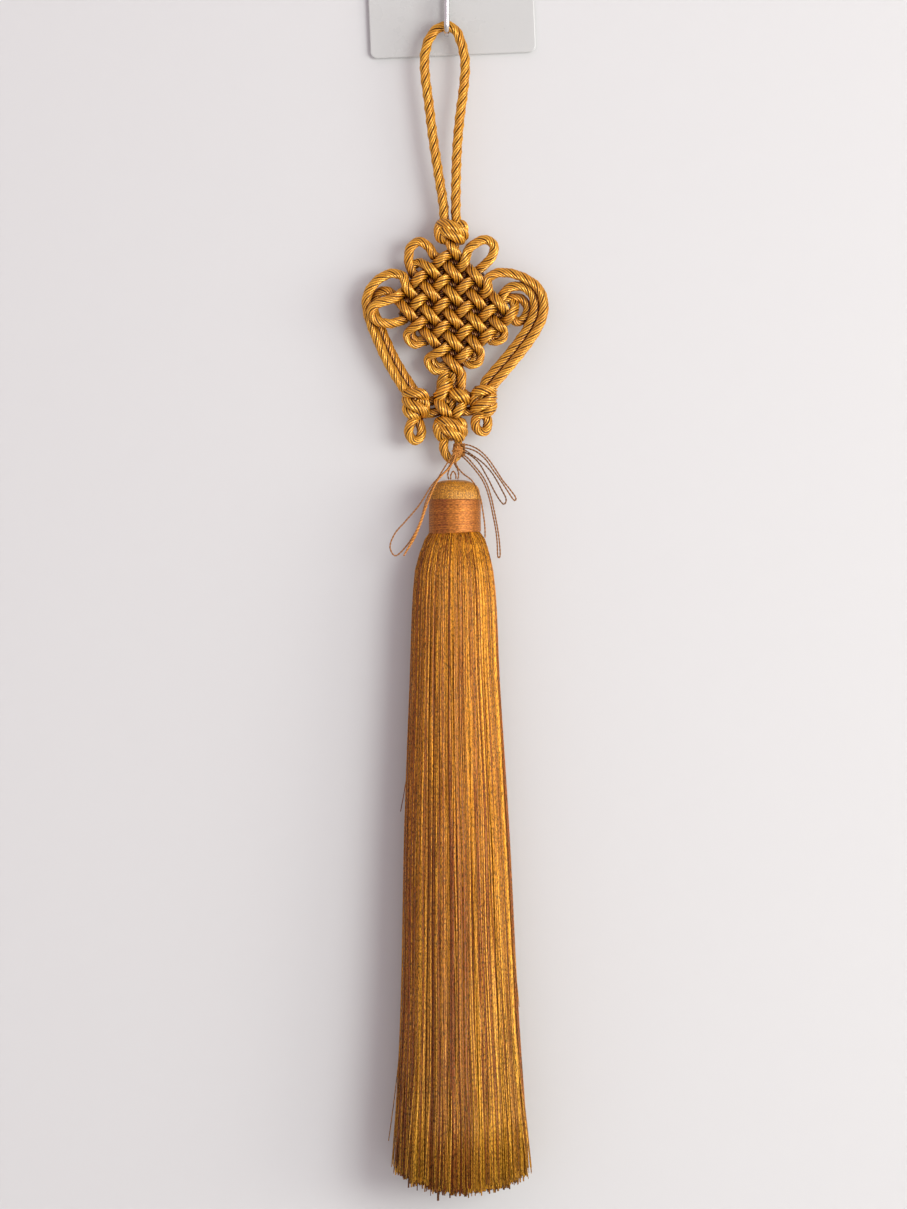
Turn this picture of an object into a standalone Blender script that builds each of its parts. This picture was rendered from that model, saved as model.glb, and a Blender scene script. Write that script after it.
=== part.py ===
"""Chinese knot with its tassel, hanging from an adhesive wall hook.

The origin is the centre of the hook plate's back face. +X is right, +Y points into the wall
and +Z is up. A route's rows say, in millimetres, how far a point is right of the origin, how
far down, how far behind the knot's middle plane (minus is nearer the viewer), and how thick
the cord is there as a share of its full girth.
"""
import math
import random

import bmesh
import bpy
import numpy as np
from mathutils import Vector

MM = 0.001
GAP = 0.3
EDGE = 0.3
WELD = 0.000001
CAP_WELD = 0.00001
SHADE_ANGLE = 50.0
CURVE_SUBSTEPS = 12

# Adhesive plate and its hook
PLATE_SIDE = 60.0
PLATE_THICKNESS = 1.5
PLATE_CORNER = 2.5
PLATE_TILT = math.radians(2.4)
HOOK_RIGHT = -1.2
HOOK_WIRE_RADIUS = 1.0
HOOK_BEND_RADIUS = 4.2
HOOK_TOP = 6.0
HOOK_BOTTOM = -23.2
HOOK_TIP = -9.0
HOOK_BEND_STEPS = 10
CORNER_STEPS = 4
TAB_WIDTH, TAB_HEIGHT, TAB_THICKNESS = 10.0, 13.0, 1.2

# Twisted cord: three strands, seen as three lobes that turn once in each lay
CORD_RADIUS = 1.78
CORD_VALLEY = 1.38
CORD_LOBES = 3
CORD_LAY = 14.4
CORD_STEP = 2.9
KNOT_PLANE = -8.0

# Diamond of six cords each way, woven one over and one under
DIAMOND_CORDS = 6
DIAMOND_RIGHT = 1.1
DIAMOND_DOWN = 121.3
PITCH_RIGHT = 4.14
PITCH_DOWN_RIGHTWARD = 4.81
PITCH_DOWN_LEFTWARD = 3.47
WEAVE_DEPTH = 1.55
WEAVE_GIRTH = 1.1
STUB = 0.45
# Where the two cords at the diamond's top leave the top knot. Rows: right, down, behind
TOP_KNOT_LEFT = [(-1.3, 95.5, 0.4)]
TOP_KNOT_RIGHT = [(1.9, 95.5, 0.4)]
EAR_DEPTH, CORNER_DEPTH = 0.8, 0.4

# Tassel
HEAD_RIGHT = 1.75
HEAD_PLANE = -10.6
CAP_TOP = 183.8
CAP_BOTTOM = 190.5
CAP_RADIUS = 8.85
CAP_SQUARENESS = 2.6
CAP_STEPS = 7
NECK_RADIUS = 7.5
BAND_RADIUS = 9.05
BAND_TOP = CAP_BOTTOM + GAP
BAND_BOTTOM = 202.7
ROOT_TOP = BAND_BOTTOM + GAP
ROOT_BOTTOM = 205.2
ROOT_RADIUS = 8.9
ROOT_SINK = 0.6
TURN_STEPS = 20
LOCK_GAP = 0.45
LOCK_RADIUS = 1.1
ROOT_INSET = 0.7
LOCK_SEED = 11
SKIRT_END = 439.5
SKIRT_END_RISE = 6.0
SKIRT_RAGGED = 1.6
SKIRT_BACK = -1.2

# Tie threads
THREAD_RADIUS = 0.3
THREAD_STEP = 4.0
BINDING_RIGHT = 2.9
BINDING_DOWN = 172.6
BINDING_RADIUS = 2.0
BINDING_GIRTH = 0.6
BINDING_TURNS = (-1.1, 0.0, 1.1)
BINDING_STEPS, BINDING_SIDES = 12, 5
# Knot on the binding's front: its middle from the binding's, and its half sizes
BEAD_OFFSET = (-0.2, 0.6, -2.6)
BEAD_REACHES = (2.1, 1.2, 1.9)

# Rows: right, down
HANGING_LOOP = [
    (-2.0, 91.5), (-2.3, 85.3), (-4.3, 72.4), (-6.1, 60.5), (-7.6, 48.2), (-9.0, 37.1), (-9.0, 30.2),
    (-7.2, 24.3), (-4.4, 21.1), (-1.2, 20.0), (1.7, 21.4), (3.8, 25.4), (5.4, 32.8), (5.0, 41.8),
    (3.6, 52.6), (2.6, 63.7), (2.2, 74.9), (2.1, 85.0), (2.2, 91.5),
]

# Rows: right, down, behind
LEFT_EAR = [
    (-13.6, 108.8, 0.8), (-14.8, 104.8, 0.3), (-14.4, 100.4, -0.3), (-11.5, 97.8, -0.3),
    (-7.9, 99.4, 0.0), (-5.9, 102.6, 0.6),
]
RIGHT_EAR = [
    (10.6, 107.4, 0.8), (14.6, 103.8, 0.3), (15.9, 99.7, -0.3), (13.3, 97.1, -0.3), (9.0, 98.5, -0.2),
    (6.4, 101.2, -0.4),
]
LEFT_CORNER_EAR = [
    (-24.2, 119.6, -2.6), (-27.2, 121.2, -3.1), (-28.2, 123.5, -3.1), (-27.0, 125.8, -3.0),
    (-24.0, 127.2, -2.4), (-20.4, 127.2, -1.0), (-17.4, 126.2, 0.4),
]
RIGHT_CORNER_EAR = [
    (24.4, 126.6, 2.4), (27.2, 124.6, 3.1), (28.0, 121.2, 3.1), (25.8, 118.3, 2.9), (21.6, 117.9, 2.4),
    (18.8, 119.0, 2.6),
]
LEFT_WING_OUTER = [
    (-13.4, 154.4, 0.0), (-16.4, 150.9, -0.2), (-18.9, 147.2, -0.4), (-22.8, 140.4, -0.4),
    (-26.3, 132.8, -0.4), (-28.3, 127.8, -0.3), (-29.8, 122.6, 0.0), (-29.8, 117.2, 0.0),
    (-26.2, 111.8, 0.0), (-21.0, 109.2, 0.0), (-16.9, 110.4, -0.6),
]
LEFT_WING_INNER = [
    (-11.6, 154.0, 1.0), (-13.9, 149.6, 2.0), (-16.4, 145.9, 2.4), (-20.3, 139.1, 2.6),
    (-23.8, 131.5, 2.8), (-25.6, 127.0, 2.9), (-27.3, 122.6, 3.2), (-27.6, 118.6, 3.2),
    (-25.8, 116.0, 2.8), (-22.6, 115.4, 2.0),
]
RIGHT_WING_OUTER = [
    (13.4, 153.6, 0.0), (15.0, 150.4, -0.4), (17.8, 147.0, -0.6), (22.4, 141.6, -0.6),
    (27.6, 135.0, -0.6), (31.4, 129.2, -0.6), (33.5, 124.0, -0.6), (33.6, 118.8, -0.6),
    (31.8, 114.6, -0.6), (27.8, 111.4, -0.4), (22.0, 109.2, 0.0), (17.0, 109.1, 0.0),
    (13.7, 111.2, -0.8),
]
RIGHT_WING_INNER = [
    (11.4, 153.0, 0.6), (12.2, 148.4, 0.8), (15.0, 144.8, 0.8), (19.6, 139.4, 0.8), (24.8, 132.8, 0.8),
    (28.2, 127.5, 0.8), (30.1, 122.8, 0.8), (29.9, 118.6, 0.8), (28.2, 115.4, 0.8), (24.8, 113.6, 0.8),
    (20.9, 114.3, 1.0), (18.7, 116.6, 1.3),
]
# Rows: right, down, behind. Bights at the diamond's lower sides, and feet of two of the loops
LEFT_UPPER_BIGHT = [(-15.2, 131.0, 0.0), (-13.6, 134.4, 0.0), (-10.4, 134.9, 0.0)]
LEFT_LOWER_BIGHT = [(-7.3, 140.3, 0.0), (-6.0, 142.9, 0.0), (-3.0, 143.9, 0.4)]
RIGHT_UPPER_BIGHT = [(19.0, 130.4, 0.0), (17.6, 133.3, 0.0), (14.2, 132.7, 0.0)]
RIGHT_LOWER_BIGHT = [(10.7, 138.6, 0.0), (8.7, 141.5, 0.0), (5.9, 140.8, 0.0)]
LEFT_EAR_FOOT = [(-13.8, 106.2, 1.6), (-11.0, 105.3, 1.4)]
RIGHT_CORNER_FOOT = [(22.4, 118.8, 2.8), (23.4, 121.4, 0.8)]
# Rows: right, down, behind, girth. The column's pads are fuller than its links
LEFT_COLUMN = [
    (-3.3, 147.4, 0.6, 0.9), (-2.5, 151.8, -1.4, 1.3), (-3.0, 154.8, 0.2, 0.9), (-2.2, 157.6, -1.2, 1.2),
    (-1.2, 162.0, 0.0, 0.9),
]
RIGHT_COLUMN = [
    (4.6, 145.2, 0.0, 1.0), (4.4, 148.6, 0.4, 0.9), (3.9, 152.8, -1.3, 1.3), (3.4, 157.4, 0.2, 0.95),
    (1.8, 161.8, 0.4, 0.9),
]
# Rows: right, down, behind
LINKS = [
    [(-11.0, 154.6, 1.6), (-6.6, 155.0, 1.9), (-2.8, 153.0, 1.4)],
    [(-11.0, 159.6, 1.0), (-6.8, 159.4, 1.6), (-2.4, 158.4, 1.2)],
    [(3.8, 151.4, 1.8), (6.6, 153.4, 1.6), (10.8, 154.6, 1.2)],
    [(3.4, 158.6, 1.2), (7.0, 158.8, 1.4), (11.0, 157.2, 0.6)],
    [(1.0, 144.6, 1.0), (0.9, 149.0, 1.8), (0.7, 155.0, 1.8), (0.4, 161.6, 0.8)],
]
LEFT_END_LOOP = [
    (-14.3, 160.6, 0.0), (-14.5, 164.4, 0.0), (-14.5, 167.4, 0.0), (-12.5, 169.5, 0.0), (-10.6, 167.6, 0.0),
    (-10.3, 164.6, 0.0), (-10.4, 160.6, 0.0),
]
RIGHT_END_LOOP = [
    (9.4, 158.6, 0.0), (9.1, 161.4, 0.0), (9.2, 164.4, 0.0), (11.2, 166.4, 0.0), (13.3, 164.6, 0.0),
    (13.5, 161.6, 0.0), (13.3, 158.6, 0.0),
]

# Rows: right, down, behind, girth
BOTTOM_RING = [
    (-1.8, 167.2, 0.0, 0.9), (-1.9, 170.4, 0.0, 0.9), (-1.9, 173.4, 0.0, 0.9), (0.2, 175.8, 0.0, 0.85),
    (2.4, 174.9, 0.0, 0.6), (2.9, 172.6, 0.0, 0.57), (2.9, 170.4, 0.0, 0.6), (2.2, 167.2, 0.0, 0.9),
]

# Each knot's place and half size, and the turns of cord seen on its front and on its back:
# how far below the middle a turn is, and how much its right end drops
KNOTS = {
    "top": dict(right=0.4, down=94.3, half_width=6.1, half_height=4.4, half_depth=5.4,
                front=[(-1.9, 1.3), (1.9, 1.3)], back=[(-0.2, -1.2)]),
    "lower_left": dict(right=-12.2, down=156.2, half_width=4.9, half_height=5.4, half_depth=4.6,
                       front=[(-3.0, 0.5), (1.9, 1.5)], back=[(-0.4, -1.2)]),
    "lower_right": dict(right=12.0, down=155.0, half_width=4.9, half_height=5.2, half_depth=4.6,
                        front=[(-2.4, -0.8), (2.0, 0.3)], back=[(-0.2, 1.2)]),
    "bottom": dict(right=0.1, down=165.0, half_width=5.9, half_height=4.2, half_depth=5.2,
                   front=[(-1.7, 1.2), (2.0, 1.2)], back=[(0.1, -1.2)]),
}
WRAP_SWEEP = math.radians(250.0)
WRAP_STEPS = 8
WRAP_TUCK = 0.55
CORE_INSET = 1.5
CORE_COLUMNS, CORE_ROWS = 12, 8

# Outline of the skirt. Rows: down, left edge, right edge, half depth
SKIRT_OUTLINE = [
    (ROOT_BOTTOM, -7.2, 10.7, 8.9),
    (209.0, -10.4, 13.6, 10.0),
    (214.0, -12.0, 14.9, 10.9),
    (224.0, -13.1, 16.2, 11.6),
    (255.0, -14.4, 17.8, 12.4),
    (308.0, -15.8, 21.2, 13.8),
    (371.0, -16.8, 24.7, 15.6),
    (426.0, -20.2, 28.4, 17.2),
    (441.0, -21.0, 28.6, 17.4),
]
# Rings of locks. Rows: share of the outline, number of locks, heights between root and end
LOCK_RINGS = [
    (1.0, 48, (208.5, 216.0, 300.0)),
    (0.78, 36, (214.0,)),
    (0.56, 24, (214.0,)),
    (0.34, 12, (214.0,)),
    (0.13, 4, (214.0,)),
]

# Thread routes. Rows: right, down, behind the knot's plane
THREADS = {
    "long_loop": [
        (4.0, 171.6, -1.6), (6.8, 171.2, -2.2), (10.2, 172.6, -3.0), (14.8, 177.4, -3.6), (19.2, 184.0, -4.0),
        (22.9, 190.2, -4.2), (23.6, 191.0, -4.2), (24.0, 189.8, -4.2), (20.4, 182.8, -4.2), (15.8, 176.6, -4.0),
        (11.0, 172.0, -3.6), (6.8, 170.2, -3.0), (3.8, 170.9, -2.4),
    ],
    "middle_loop": [
        (4.2, 173.2, -1.0), (10.4, 179.6, -2.6), (15.0, 186.6, -3.2), (18.6, 191.8, -3.4), (19.6, 192.2, -3.4),
        (20.2, 190.0, -3.4), (16.9, 182.2, -3.4), (10.8, 175.8, -3.0), (4.4, 172.2, -1.8),
    ],
    "drooping_loop": [
        (3.8, 174.4, -1.6), (9.2, 179.6, -3.2), (12.5, 186.4, -4.2), (14.5, 194.0, -5.0), (16.0, 203.0, -7.0),
        (17.4, 211.4, -8.2), (18.0, 211.8, -8.2), (18.4, 210.8, -8.2), (16.8, 202.0, -7.0), (15.4, 193.4, -5.0),
        (13.4, 185.8, -4.2), (10.0, 179.0, -3.2), (4.4, 173.9, -2.2),
    ],
    "cap_edge_thread": [
        (3.0, 174.2, -2.4), (4.8, 179.8, -3.4), (8.0, 183.4, -5.2), (10.6, 189.6, -7.0), (12.0, 197.6, -7.4),
        (12.6, 203.4, -8.2), (13.2, 206.8, -9.2),
    ],
    "left_loop": [
        (1.6, 174.0, -2.4), (-0.4, 179.0, -4.0), (-4.6, 184.0, -7.6), (-10.0, 191.0, -8.0), (-15.8, 198.7, -7.6),
        (-20.4, 204.4, -7.0), (-21.8, 208.4, -6.8), (-19.9, 210.9, -6.8), (-15.8, 207.6, -6.8),
        (-11.0, 200.0, -7.0), (-7.8, 190.4, -6.6), (-3.2, 181.2, -4.2), (1.9, 173.2, -3.0),
    ],
    "left_end": [
        (2.3, 174.0, -2.8), (0.2, 179.6, -5.0), (-4.6, 186.0, -9.4), (-9.6, 197.0, -9.4), (-13.4, 205.6, -8.4),
        (-16.8, 211.4, -8.2),
    ],
    "left_carrier": [(2.2, 174.3, -2.6), (0.8, 177.8, -2.7), (0.1, 181.5, -2.6), (0.2, 183.4, -2.6)],
    "right_carrier": [(3.2, 174.3, -2.6), (3.4, 177.8, -2.7), (3.4, 181.5, -2.6), (3.2, 183.4, -2.6)],
}


def clear_scene():
    for item in list(bpy.data.objects):
        bpy.data.objects.remove(item, do_unlink=True)


def new_collection(name):
    collection = bpy.data.collections.new(name)
    bpy.context.scene.collection.children.link(collection)
    return collection


def principled(name, colour, roughness, metallic=0.0, alpha=1.0):
    material = bpy.data.materials.new(name)
    material.use_nodes = True
    shader = material.node_tree.nodes["Principled BSDF"]
    shader.inputs["Base Color"].default_value = (*colour, 1.0)
    shader.inputs["Roughness"].default_value = roughness
    shader.inputs["Metallic"].default_value = metallic
    shader.inputs["Alpha"].default_value = alpha
    return material


def add_object(name, data, collection, material=None):
    item = bpy.data.objects.new(name, data)
    collection.objects.link(item)
    if material is not None:
        data.materials.append(material)
    return item


def as_guide(item):
    item.hide_render = True
    item.display_type = "WIRE"
    return item


def shade(item):
    item.data.shade_smooth()
    item.data.set_sharp_from_angle(angle=math.radians(SHADE_ANGLE))
    return item


def mesh_from_curve(item, collection):
    """Replace a curve object by its mesh, with the caps welded on."""
    bpy.context.view_layer.update()
    evaluated = item.evaluated_get(bpy.context.evaluated_depsgraph_get())
    mesh = bpy.data.meshes.new_from_object(evaluated)
    work = bmesh.new()
    work.from_mesh(mesh)
    bmesh.ops.remove_doubles(work, verts=work.verts, dist=CAP_WELD)
    bmesh.ops.recalc_face_normals(work, faces=work.faces)
    work.to_mesh(mesh)
    work.free()
    solid = bpy.data.objects.new(item.name + "_solid", mesh)
    solid.matrix_world = item.matrix_world
    collection.objects.link(solid)
    bpy.data.objects.remove(item, do_unlink=True)
    return solid


def full_rows(rows):
    """Give every row its four columns: right, down, behind, girth."""
    blanks = (0.0, 0.0, 0.0, 1.0)
    return np.array([tuple(row) + blanks[len(row):] for row in rows])


def smooth_route(rows, step):
    """Points at even steps along a smooth curve through the rows."""
    rows = full_rows(rows)
    spans = np.sqrt(np.linalg.norm(np.diff(rows[:, :3], axis=0), axis=1))
    stations = np.concatenate([[0.0], np.cumsum(spans)])
    slopes = np.gradient(rows, stations, axis=0)
    dense = []
    for index, span in enumerate(spans):
        for share in np.linspace(0.0, 1.0, CURVE_SUBSTEPS, endpoint=False):
            square, cube = share ** 2, share ** 3
            dense.append(
                (2 * cube - 3 * square + 1) * rows[index]
                + (cube - 2 * square + share) * span * slopes[index]
                + (3 * square - 2 * cube) * rows[index + 1]
                + (cube - square) * span * slopes[index + 1]
            )
    dense.append(rows[-1])
    dense = np.array(dense)
    lengths = np.linalg.norm(np.diff(dense[:, :3], axis=0), axis=1)
    travelled = np.concatenate([[0.0], np.cumsum(lengths)])
    count = max(2, round(travelled[-1] / step))
    marks = np.linspace(0.0, travelled[-1], count + 1)
    return np.column_stack([np.interp(marks, travelled, column) for column in dense.T])


def in_space(right, down, behind):
    return Vector((right, KNOT_PLANE + behind, -down)) * MM


def cord_section(guides):
    """The cord's lobed section, as a closed curve for bevelling."""
    data = bpy.data.curves.new("cord_section", "CURVE")
    data.dimensions = "2D"
    data.fill_mode = "NONE"
    spline = data.splines.new("POLY")
    corners = 2 * CORD_LOBES
    spline.points.add(corners - 1)
    for corner in range(corners):
        radius = CORD_RADIUS if corner % 2 == 0 else CORD_VALLEY
        angle = 2 * math.pi * corner / corners
        spline.points[corner].co = (radius * math.cos(angle) * MM, radius * math.sin(angle) * MM, 0.0, 1.0)
    spline.use_cyclic_u = True
    return as_guide(add_object("cord_section", data, guides))


def cord(name, route, section, guides):
    """A solid length of twisted cord along a route of even steps."""
    data = bpy.data.curves.new(name, "CURVE")
    data.dimensions = "3D"
    data.bevel_mode = "OBJECT"
    data.bevel_object = section
    data.use_fill_caps = True
    spline = data.splines.new("POLY")
    spline.points.add(len(route) - 1)
    lengths = np.linalg.norm(np.diff(route[:, :3], axis=0), axis=1)
    travelled = np.concatenate([[0.0], np.cumsum(lengths)])
    for point, row, distance in zip(spline.points, route, travelled):
        point.co = (*in_space(*row[:3]), 1.0)
        point.radius = row[3]
        point.tilt = -2 * math.pi * distance / CORD_LAY
    return as_guide(mesh_from_curve(add_object(name, data, guides), guides))


def crossing(column, row, behind=0.0, girth=1.0):
    """Where two cords of the diamond cross: column counts down to the right, row down to the left."""
    across = column - (DIAMOND_CORDS - 1) / 2
    along = row - (DIAMOND_CORDS - 1) / 2
    right = DIAMOND_RIGHT + (across - along) * PITCH_RIGHT
    down = DIAMOND_DOWN + across * PITCH_DOWN_RIGHTWARD + along * PITCH_DOWN_LEFTWARD
    return (right, down, behind, girth)


def rightward_cord(row):
    """Crossings of a cord that runs down to the right, over where column and row add up even."""
    return [crossing(column, row, -WEAVE_DEPTH if (column + row) % 2 == 0 else WEAVE_DEPTH, WEAVE_GIRTH)
            for column in range(DIAMOND_CORDS)]


def leftward_cord(column):
    """Crossings of a cord that runs down to the left, over where the other one is under."""
    return [crossing(column, row, WEAVE_DEPTH if (column + row) % 2 == 0 else -WEAVE_DEPTH, WEAVE_GIRTH)
            for row in range(DIAMOND_CORDS)]


def diamond_routes():
    """The twelve cords of the diamond, each with the loops that leave from its ends."""
    last = DIAMOND_CORDS - 1 + STUB
    rightward_starts = [
        TOP_KNOT_LEFT, LEFT_EAR, LEFT_EAR_FOOT, [crossing(-STUB, 3, EAR_DEPTH)],
        LEFT_WING_OUTER, LEFT_WING_INNER,
    ]
    rightward_ends = [
        RIGHT_CORNER_EAR, RIGHT_UPPER_BIGHT, [crossing(last, 2)], RIGHT_LOWER_BIGHT,
        [crossing(last, 4)], RIGHT_COLUMN,
    ]
    leftward_starts = [
        TOP_KNOT_RIGHT, RIGHT_EAR, [crossing(2, -STUB, EAR_DEPTH)], RIGHT_WING_OUTER,
        RIGHT_WING_INNER, RIGHT_CORNER_FOOT,
    ]
    leftward_ends = [
        LEFT_CORNER_EAR, [crossing(1, last, CORNER_DEPTH)], LEFT_UPPER_BIGHT, [crossing(3, last)],
        LEFT_LOWER_BIGHT, LEFT_COLUMN,
    ]
    routes = []
    for index in range(DIAMOND_CORDS):
        routes.append(rightward_starts[index] + rightward_cord(index) + rightward_ends[index])
        routes.append(leftward_starts[index] + leftward_cord(index) + leftward_ends[index])
    return routes


def wrap_route(knot, below, drop, facing):
    """A turn of cord round one side of a knot, with both ends tucked into its core."""
    rows = []
    for step in range(WRAP_STEPS + 1):
        angle = facing + (step / WRAP_STEPS - 0.5) * WRAP_SWEEP
        reach = WRAP_TUCK if step in (0, WRAP_STEPS) else 1.0
        rows.append((
            knot["right"] + reach * (knot["half_width"] - CORD_RADIUS) * math.cos(angle),
            knot["down"] + below + drop * math.cos(angle),
            reach * (knot["half_depth"] - CORD_RADIUS) * math.sin(angle),
        ))
    return smooth_route(rows, CORD_STEP)


def ball(name, centre, reaches, guides):
    """A round guide body with its own reach along each axis."""
    mesh = bpy.data.meshes.new(name)
    work = bmesh.new()
    bmesh.ops.create_uvsphere(work, u_segments=CORE_COLUMNS, v_segments=CORE_ROWS, radius=1.0)
    bmesh.ops.scale(work, verts=work.verts, vec=Vector(reaches) * MM)
    work.to_mesh(mesh)
    work.free()
    item = as_guide(add_object(name, mesh, guides))
    item.location = centre
    return item


def knot_pieces(name, knot, section, guides):
    """A round core with turns of cord about it."""
    reaches = (knot["half_width"] - CORE_INSET, knot["half_depth"] - CORE_INSET, knot["half_height"])
    pieces = [ball(name + "_core", in_space(knot["right"], knot["down"], 0.0), reaches, guides)]
    for side, facing in (("front", -math.pi / 2), ("back", math.pi / 2)):
        for number, (below, drop) in enumerate(knot[side]):
            route = wrap_route(knot, below, drop, facing)
            pieces.append(cord(f"{name}_{side}_{number}", route, section, guides))
    return pieces


def connected_faces(work):
    """The mesh's faces, grouped by the plain edges that join two of them."""
    groups = []
    seen = set()
    for first in work.faces:
        if first in seen:
            continue
        seen.add(first)
        group = [first]
        for face in group:
            for edge in face.edges:
                if len(edge.link_faces) != 2:
                    continue
                for other in edge.link_faces:
                    if other not in seen:
                        seen.add(other)
                        group.append(other)
        groups.append(group)
    return groups


def without_pockets(item, collection, material):
    """Apply the union and drop the slivers of air it leaves sealed between fused pieces."""
    bpy.context.view_layer.update()
    mesh = bpy.data.meshes.new_from_object(item.evaluated_get(bpy.context.evaluated_depsgraph_get()))
    work = bmesh.new()
    work.from_mesh(mesh)
    work.transform(item.matrix_world)
    groups = connected_faces(work)
    main = max(groups, key=len)
    pockets = [face for group in groups if group is not main for face in group]
    bmesh.ops.delete(work, geom=pockets, context="FACES")
    bmesh.ops.remove_doubles(work, verts=work.verts, dist=WELD)
    bmesh.ops.dissolve_degenerate(work, edges=work.edges, dist=WELD)
    bmesh.ops.triangulate(work, faces=work.faces)
    work.to_mesh(mesh)
    work.free()
    name = item.name
    bpy.data.objects.remove(item, do_unlink=True)
    solid = add_object(name, mesh, collection)
    solid.data.materials.clear()
    solid.data.materials.append(material)
    return shade(solid)


def fuse(name, pieces, collection, guides, material):
    """One solid from overlapping pieces."""
    operands = bpy.data.collections.new(name + "_pieces")
    guides.children.link(operands)
    base = pieces[0]
    for piece in pieces[1:]:
        guides.objects.unlink(piece)
        operands.objects.link(piece)
    solid = add_object(name, base.data.copy(), collection)
    solid.matrix_world = base.matrix_world
    solid.data.materials.clear()
    solid.data.materials.append(material)
    union = solid.modifiers.new("fuse", "BOOLEAN")
    union.operation = "UNION"
    union.solver = "EXACT"
    union.operand_type = "COLLECTION"
    union.collection = operands
    union.material_mode = "INDEX"
    return without_pockets(solid, collection, material)


def build_plate(collection):
    data = bpy.data.curves.new("hook_plate", "CURVE")
    data.dimensions = "2D"
    data.fill_mode = "BOTH"
    data.extrude = PLATE_THICKNESS / 2 * MM
    spline = data.splines.new("POLY")
    corners = []
    inset = PLATE_SIDE / 2 - PLATE_CORNER
    for quarter in range(4):
        middle = math.pi / 4 + quarter * math.pi / 2
        centre = (math.copysign(inset, math.cos(middle)), math.copysign(inset, math.sin(middle)))
        for share in np.linspace(-math.pi / 4, math.pi / 4, CORNER_STEPS + 1):
            corners.append((
                centre[0] + PLATE_CORNER * math.cos(middle + share),
                centre[1] + PLATE_CORNER * math.sin(middle + share),
            ))
    spline.points.add(len(corners) - 1)
    for point, (x, y) in zip(spline.points, corners):
        point.co = (x * MM, y * MM, 0.0, 1.0)
    spline.use_cyclic_u = True
    guide = bpy.data.objects.new("hook_plate_outline", data)
    collection.objects.link(guide)
    guide.rotation_euler = (math.pi / 2, -PLATE_TILT, 0.0)
    guide.location = (0.0, -PLATE_THICKNESS / 2 * MM, 0.0)
    plate = mesh_from_curve(guide, collection)
    plate.name = "hook_plate"
    plate.data.materials.append(principled("clear_plastic", (0.86, 0.87, 0.88), 0.25))
    return plate


def build_hook(collection, guides):
    """A wire bent to a J, fused to the small tab that holds it on the plate."""
    leg = -(PLATE_THICKNESS + TAB_THICKNESS + HOOK_WIRE_RADIUS)
    rows = [(leg, HOOK_TOP), (leg, HOOK_BOTTOM + HOOK_BEND_RADIUS)]
    for angle in np.linspace(0.0, math.pi, HOOK_BEND_STEPS + 1)[1:]:
        rows.append((
            leg - HOOK_BEND_RADIUS * (1 - math.cos(angle)),
            HOOK_BOTTOM + HOOK_BEND_RADIUS * (1 - math.sin(angle)),
        ))
    rows.append((leg - 2 * HOOK_BEND_RADIUS, HOOK_TIP))
    data = bpy.data.curves.new("hook_wire", "CURVE")
    data.dimensions = "3D"
    data.bevel_depth = HOOK_WIRE_RADIUS * MM
    data.bevel_resolution = 2
    data.use_fill_caps = True
    spline = data.splines.new("POLY")
    spline.points.add(len(rows) - 1)
    for point, (depth, height) in zip(spline.points, rows):
        point.co = (HOOK_RIGHT * MM, depth * MM, height * MM, 1.0)
    wire = as_guide(mesh_from_curve(add_object("hook_wire", data, guides), guides))
    work = bmesh.new()
    bmesh.ops.create_cube(work, size=1.0)
    bmesh.ops.scale(work, verts=work.verts, vec=Vector((TAB_WIDTH, TAB_THICKNESS, TAB_HEIGHT)) * MM)
    bmesh.ops.bevel(work, geom=work.edges, offset=EDGE * MM, segments=1, affect="EDGES")
    mesh = bpy.data.meshes.new("hook_tab")
    work.to_mesh(mesh)
    work.free()
    tab = as_guide(add_object("hook_tab", mesh, guides))
    tab.location = Vector((HOOK_RIGHT, -(PLATE_THICKNESS + GAP + TAB_THICKNESS / 2), 0.0)) * MM
    hook = fuse("hook", [wire, tab], collection, guides, principled("steel", (0.62, 0.62, 0.64), 0.25, 1.0))
    return hook


def build_knotted_cord(collection, guides):
    section = cord_section(guides)
    pieces = [cord("hanging_loop", smooth_route(HANGING_LOOP, CORD_STEP), section, guides)]
    for name, knot in KNOTS.items():
        pieces += knot_pieces(name, knot, section, guides)
    for number, rows in enumerate(diamond_routes()):
        pieces.append(cord(f"diamond_cord_{number}", smooth_route(rows, CORD_STEP), section, guides))
    for number, rows in enumerate(LINKS):
        pieces.append(cord(f"link_{number}", smooth_route(rows, CORD_STEP), section, guides))
    for name, rows in (("left_end_loop", LEFT_END_LOOP), ("right_end_loop", RIGHT_END_LOOP),
                       ("bottom_ring", BOTTOM_RING)):
        pieces.append(cord(name, smooth_route(rows, CORD_STEP), section, guides))
    gold = principled("gold_cord", (0.58, 0.27, 0.05), 0.45)
    return fuse("knotted_cord", pieces, collection, guides, gold)


def outline_at(down):
    """Middle, half width and half depth of the skirt at a height."""
    table = np.array(SKIRT_OUTLINE)
    left, right, depth = (np.interp(down, table[:, 0], table[:, column]) for column in (1, 2, 3))
    return (left + right) / 2, (right - left) / 2, depth


def turned(name, profile, collection, closed=False):
    """A profile of radius and depth below the origin, turned about the head's axis."""
    mesh = bpy.data.meshes.new(name)
    points = [(radius * MM, 0.0, -down * MM) for radius, down in profile]
    edges = [(index, index + 1) for index in range(len(points) - 1)]
    if closed:
        edges.append((len(points) - 1, 0))
    mesh.from_pydata(points, edges, [])
    item = bpy.data.objects.new(name, mesh)
    collection.objects.link(item)
    item.location = (HEAD_RIGHT * MM, HEAD_PLANE * MM, 0.0)
    screw = item.modifiers.new("turn", "SCREW")
    screw.steps = TURN_STEPS
    screw.render_steps = TURN_STEPS
    screw.use_merge_vertices = True
    screw.merge_threshold = CAP_WELD
    screw.use_normal_calculate = False
    return item


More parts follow.
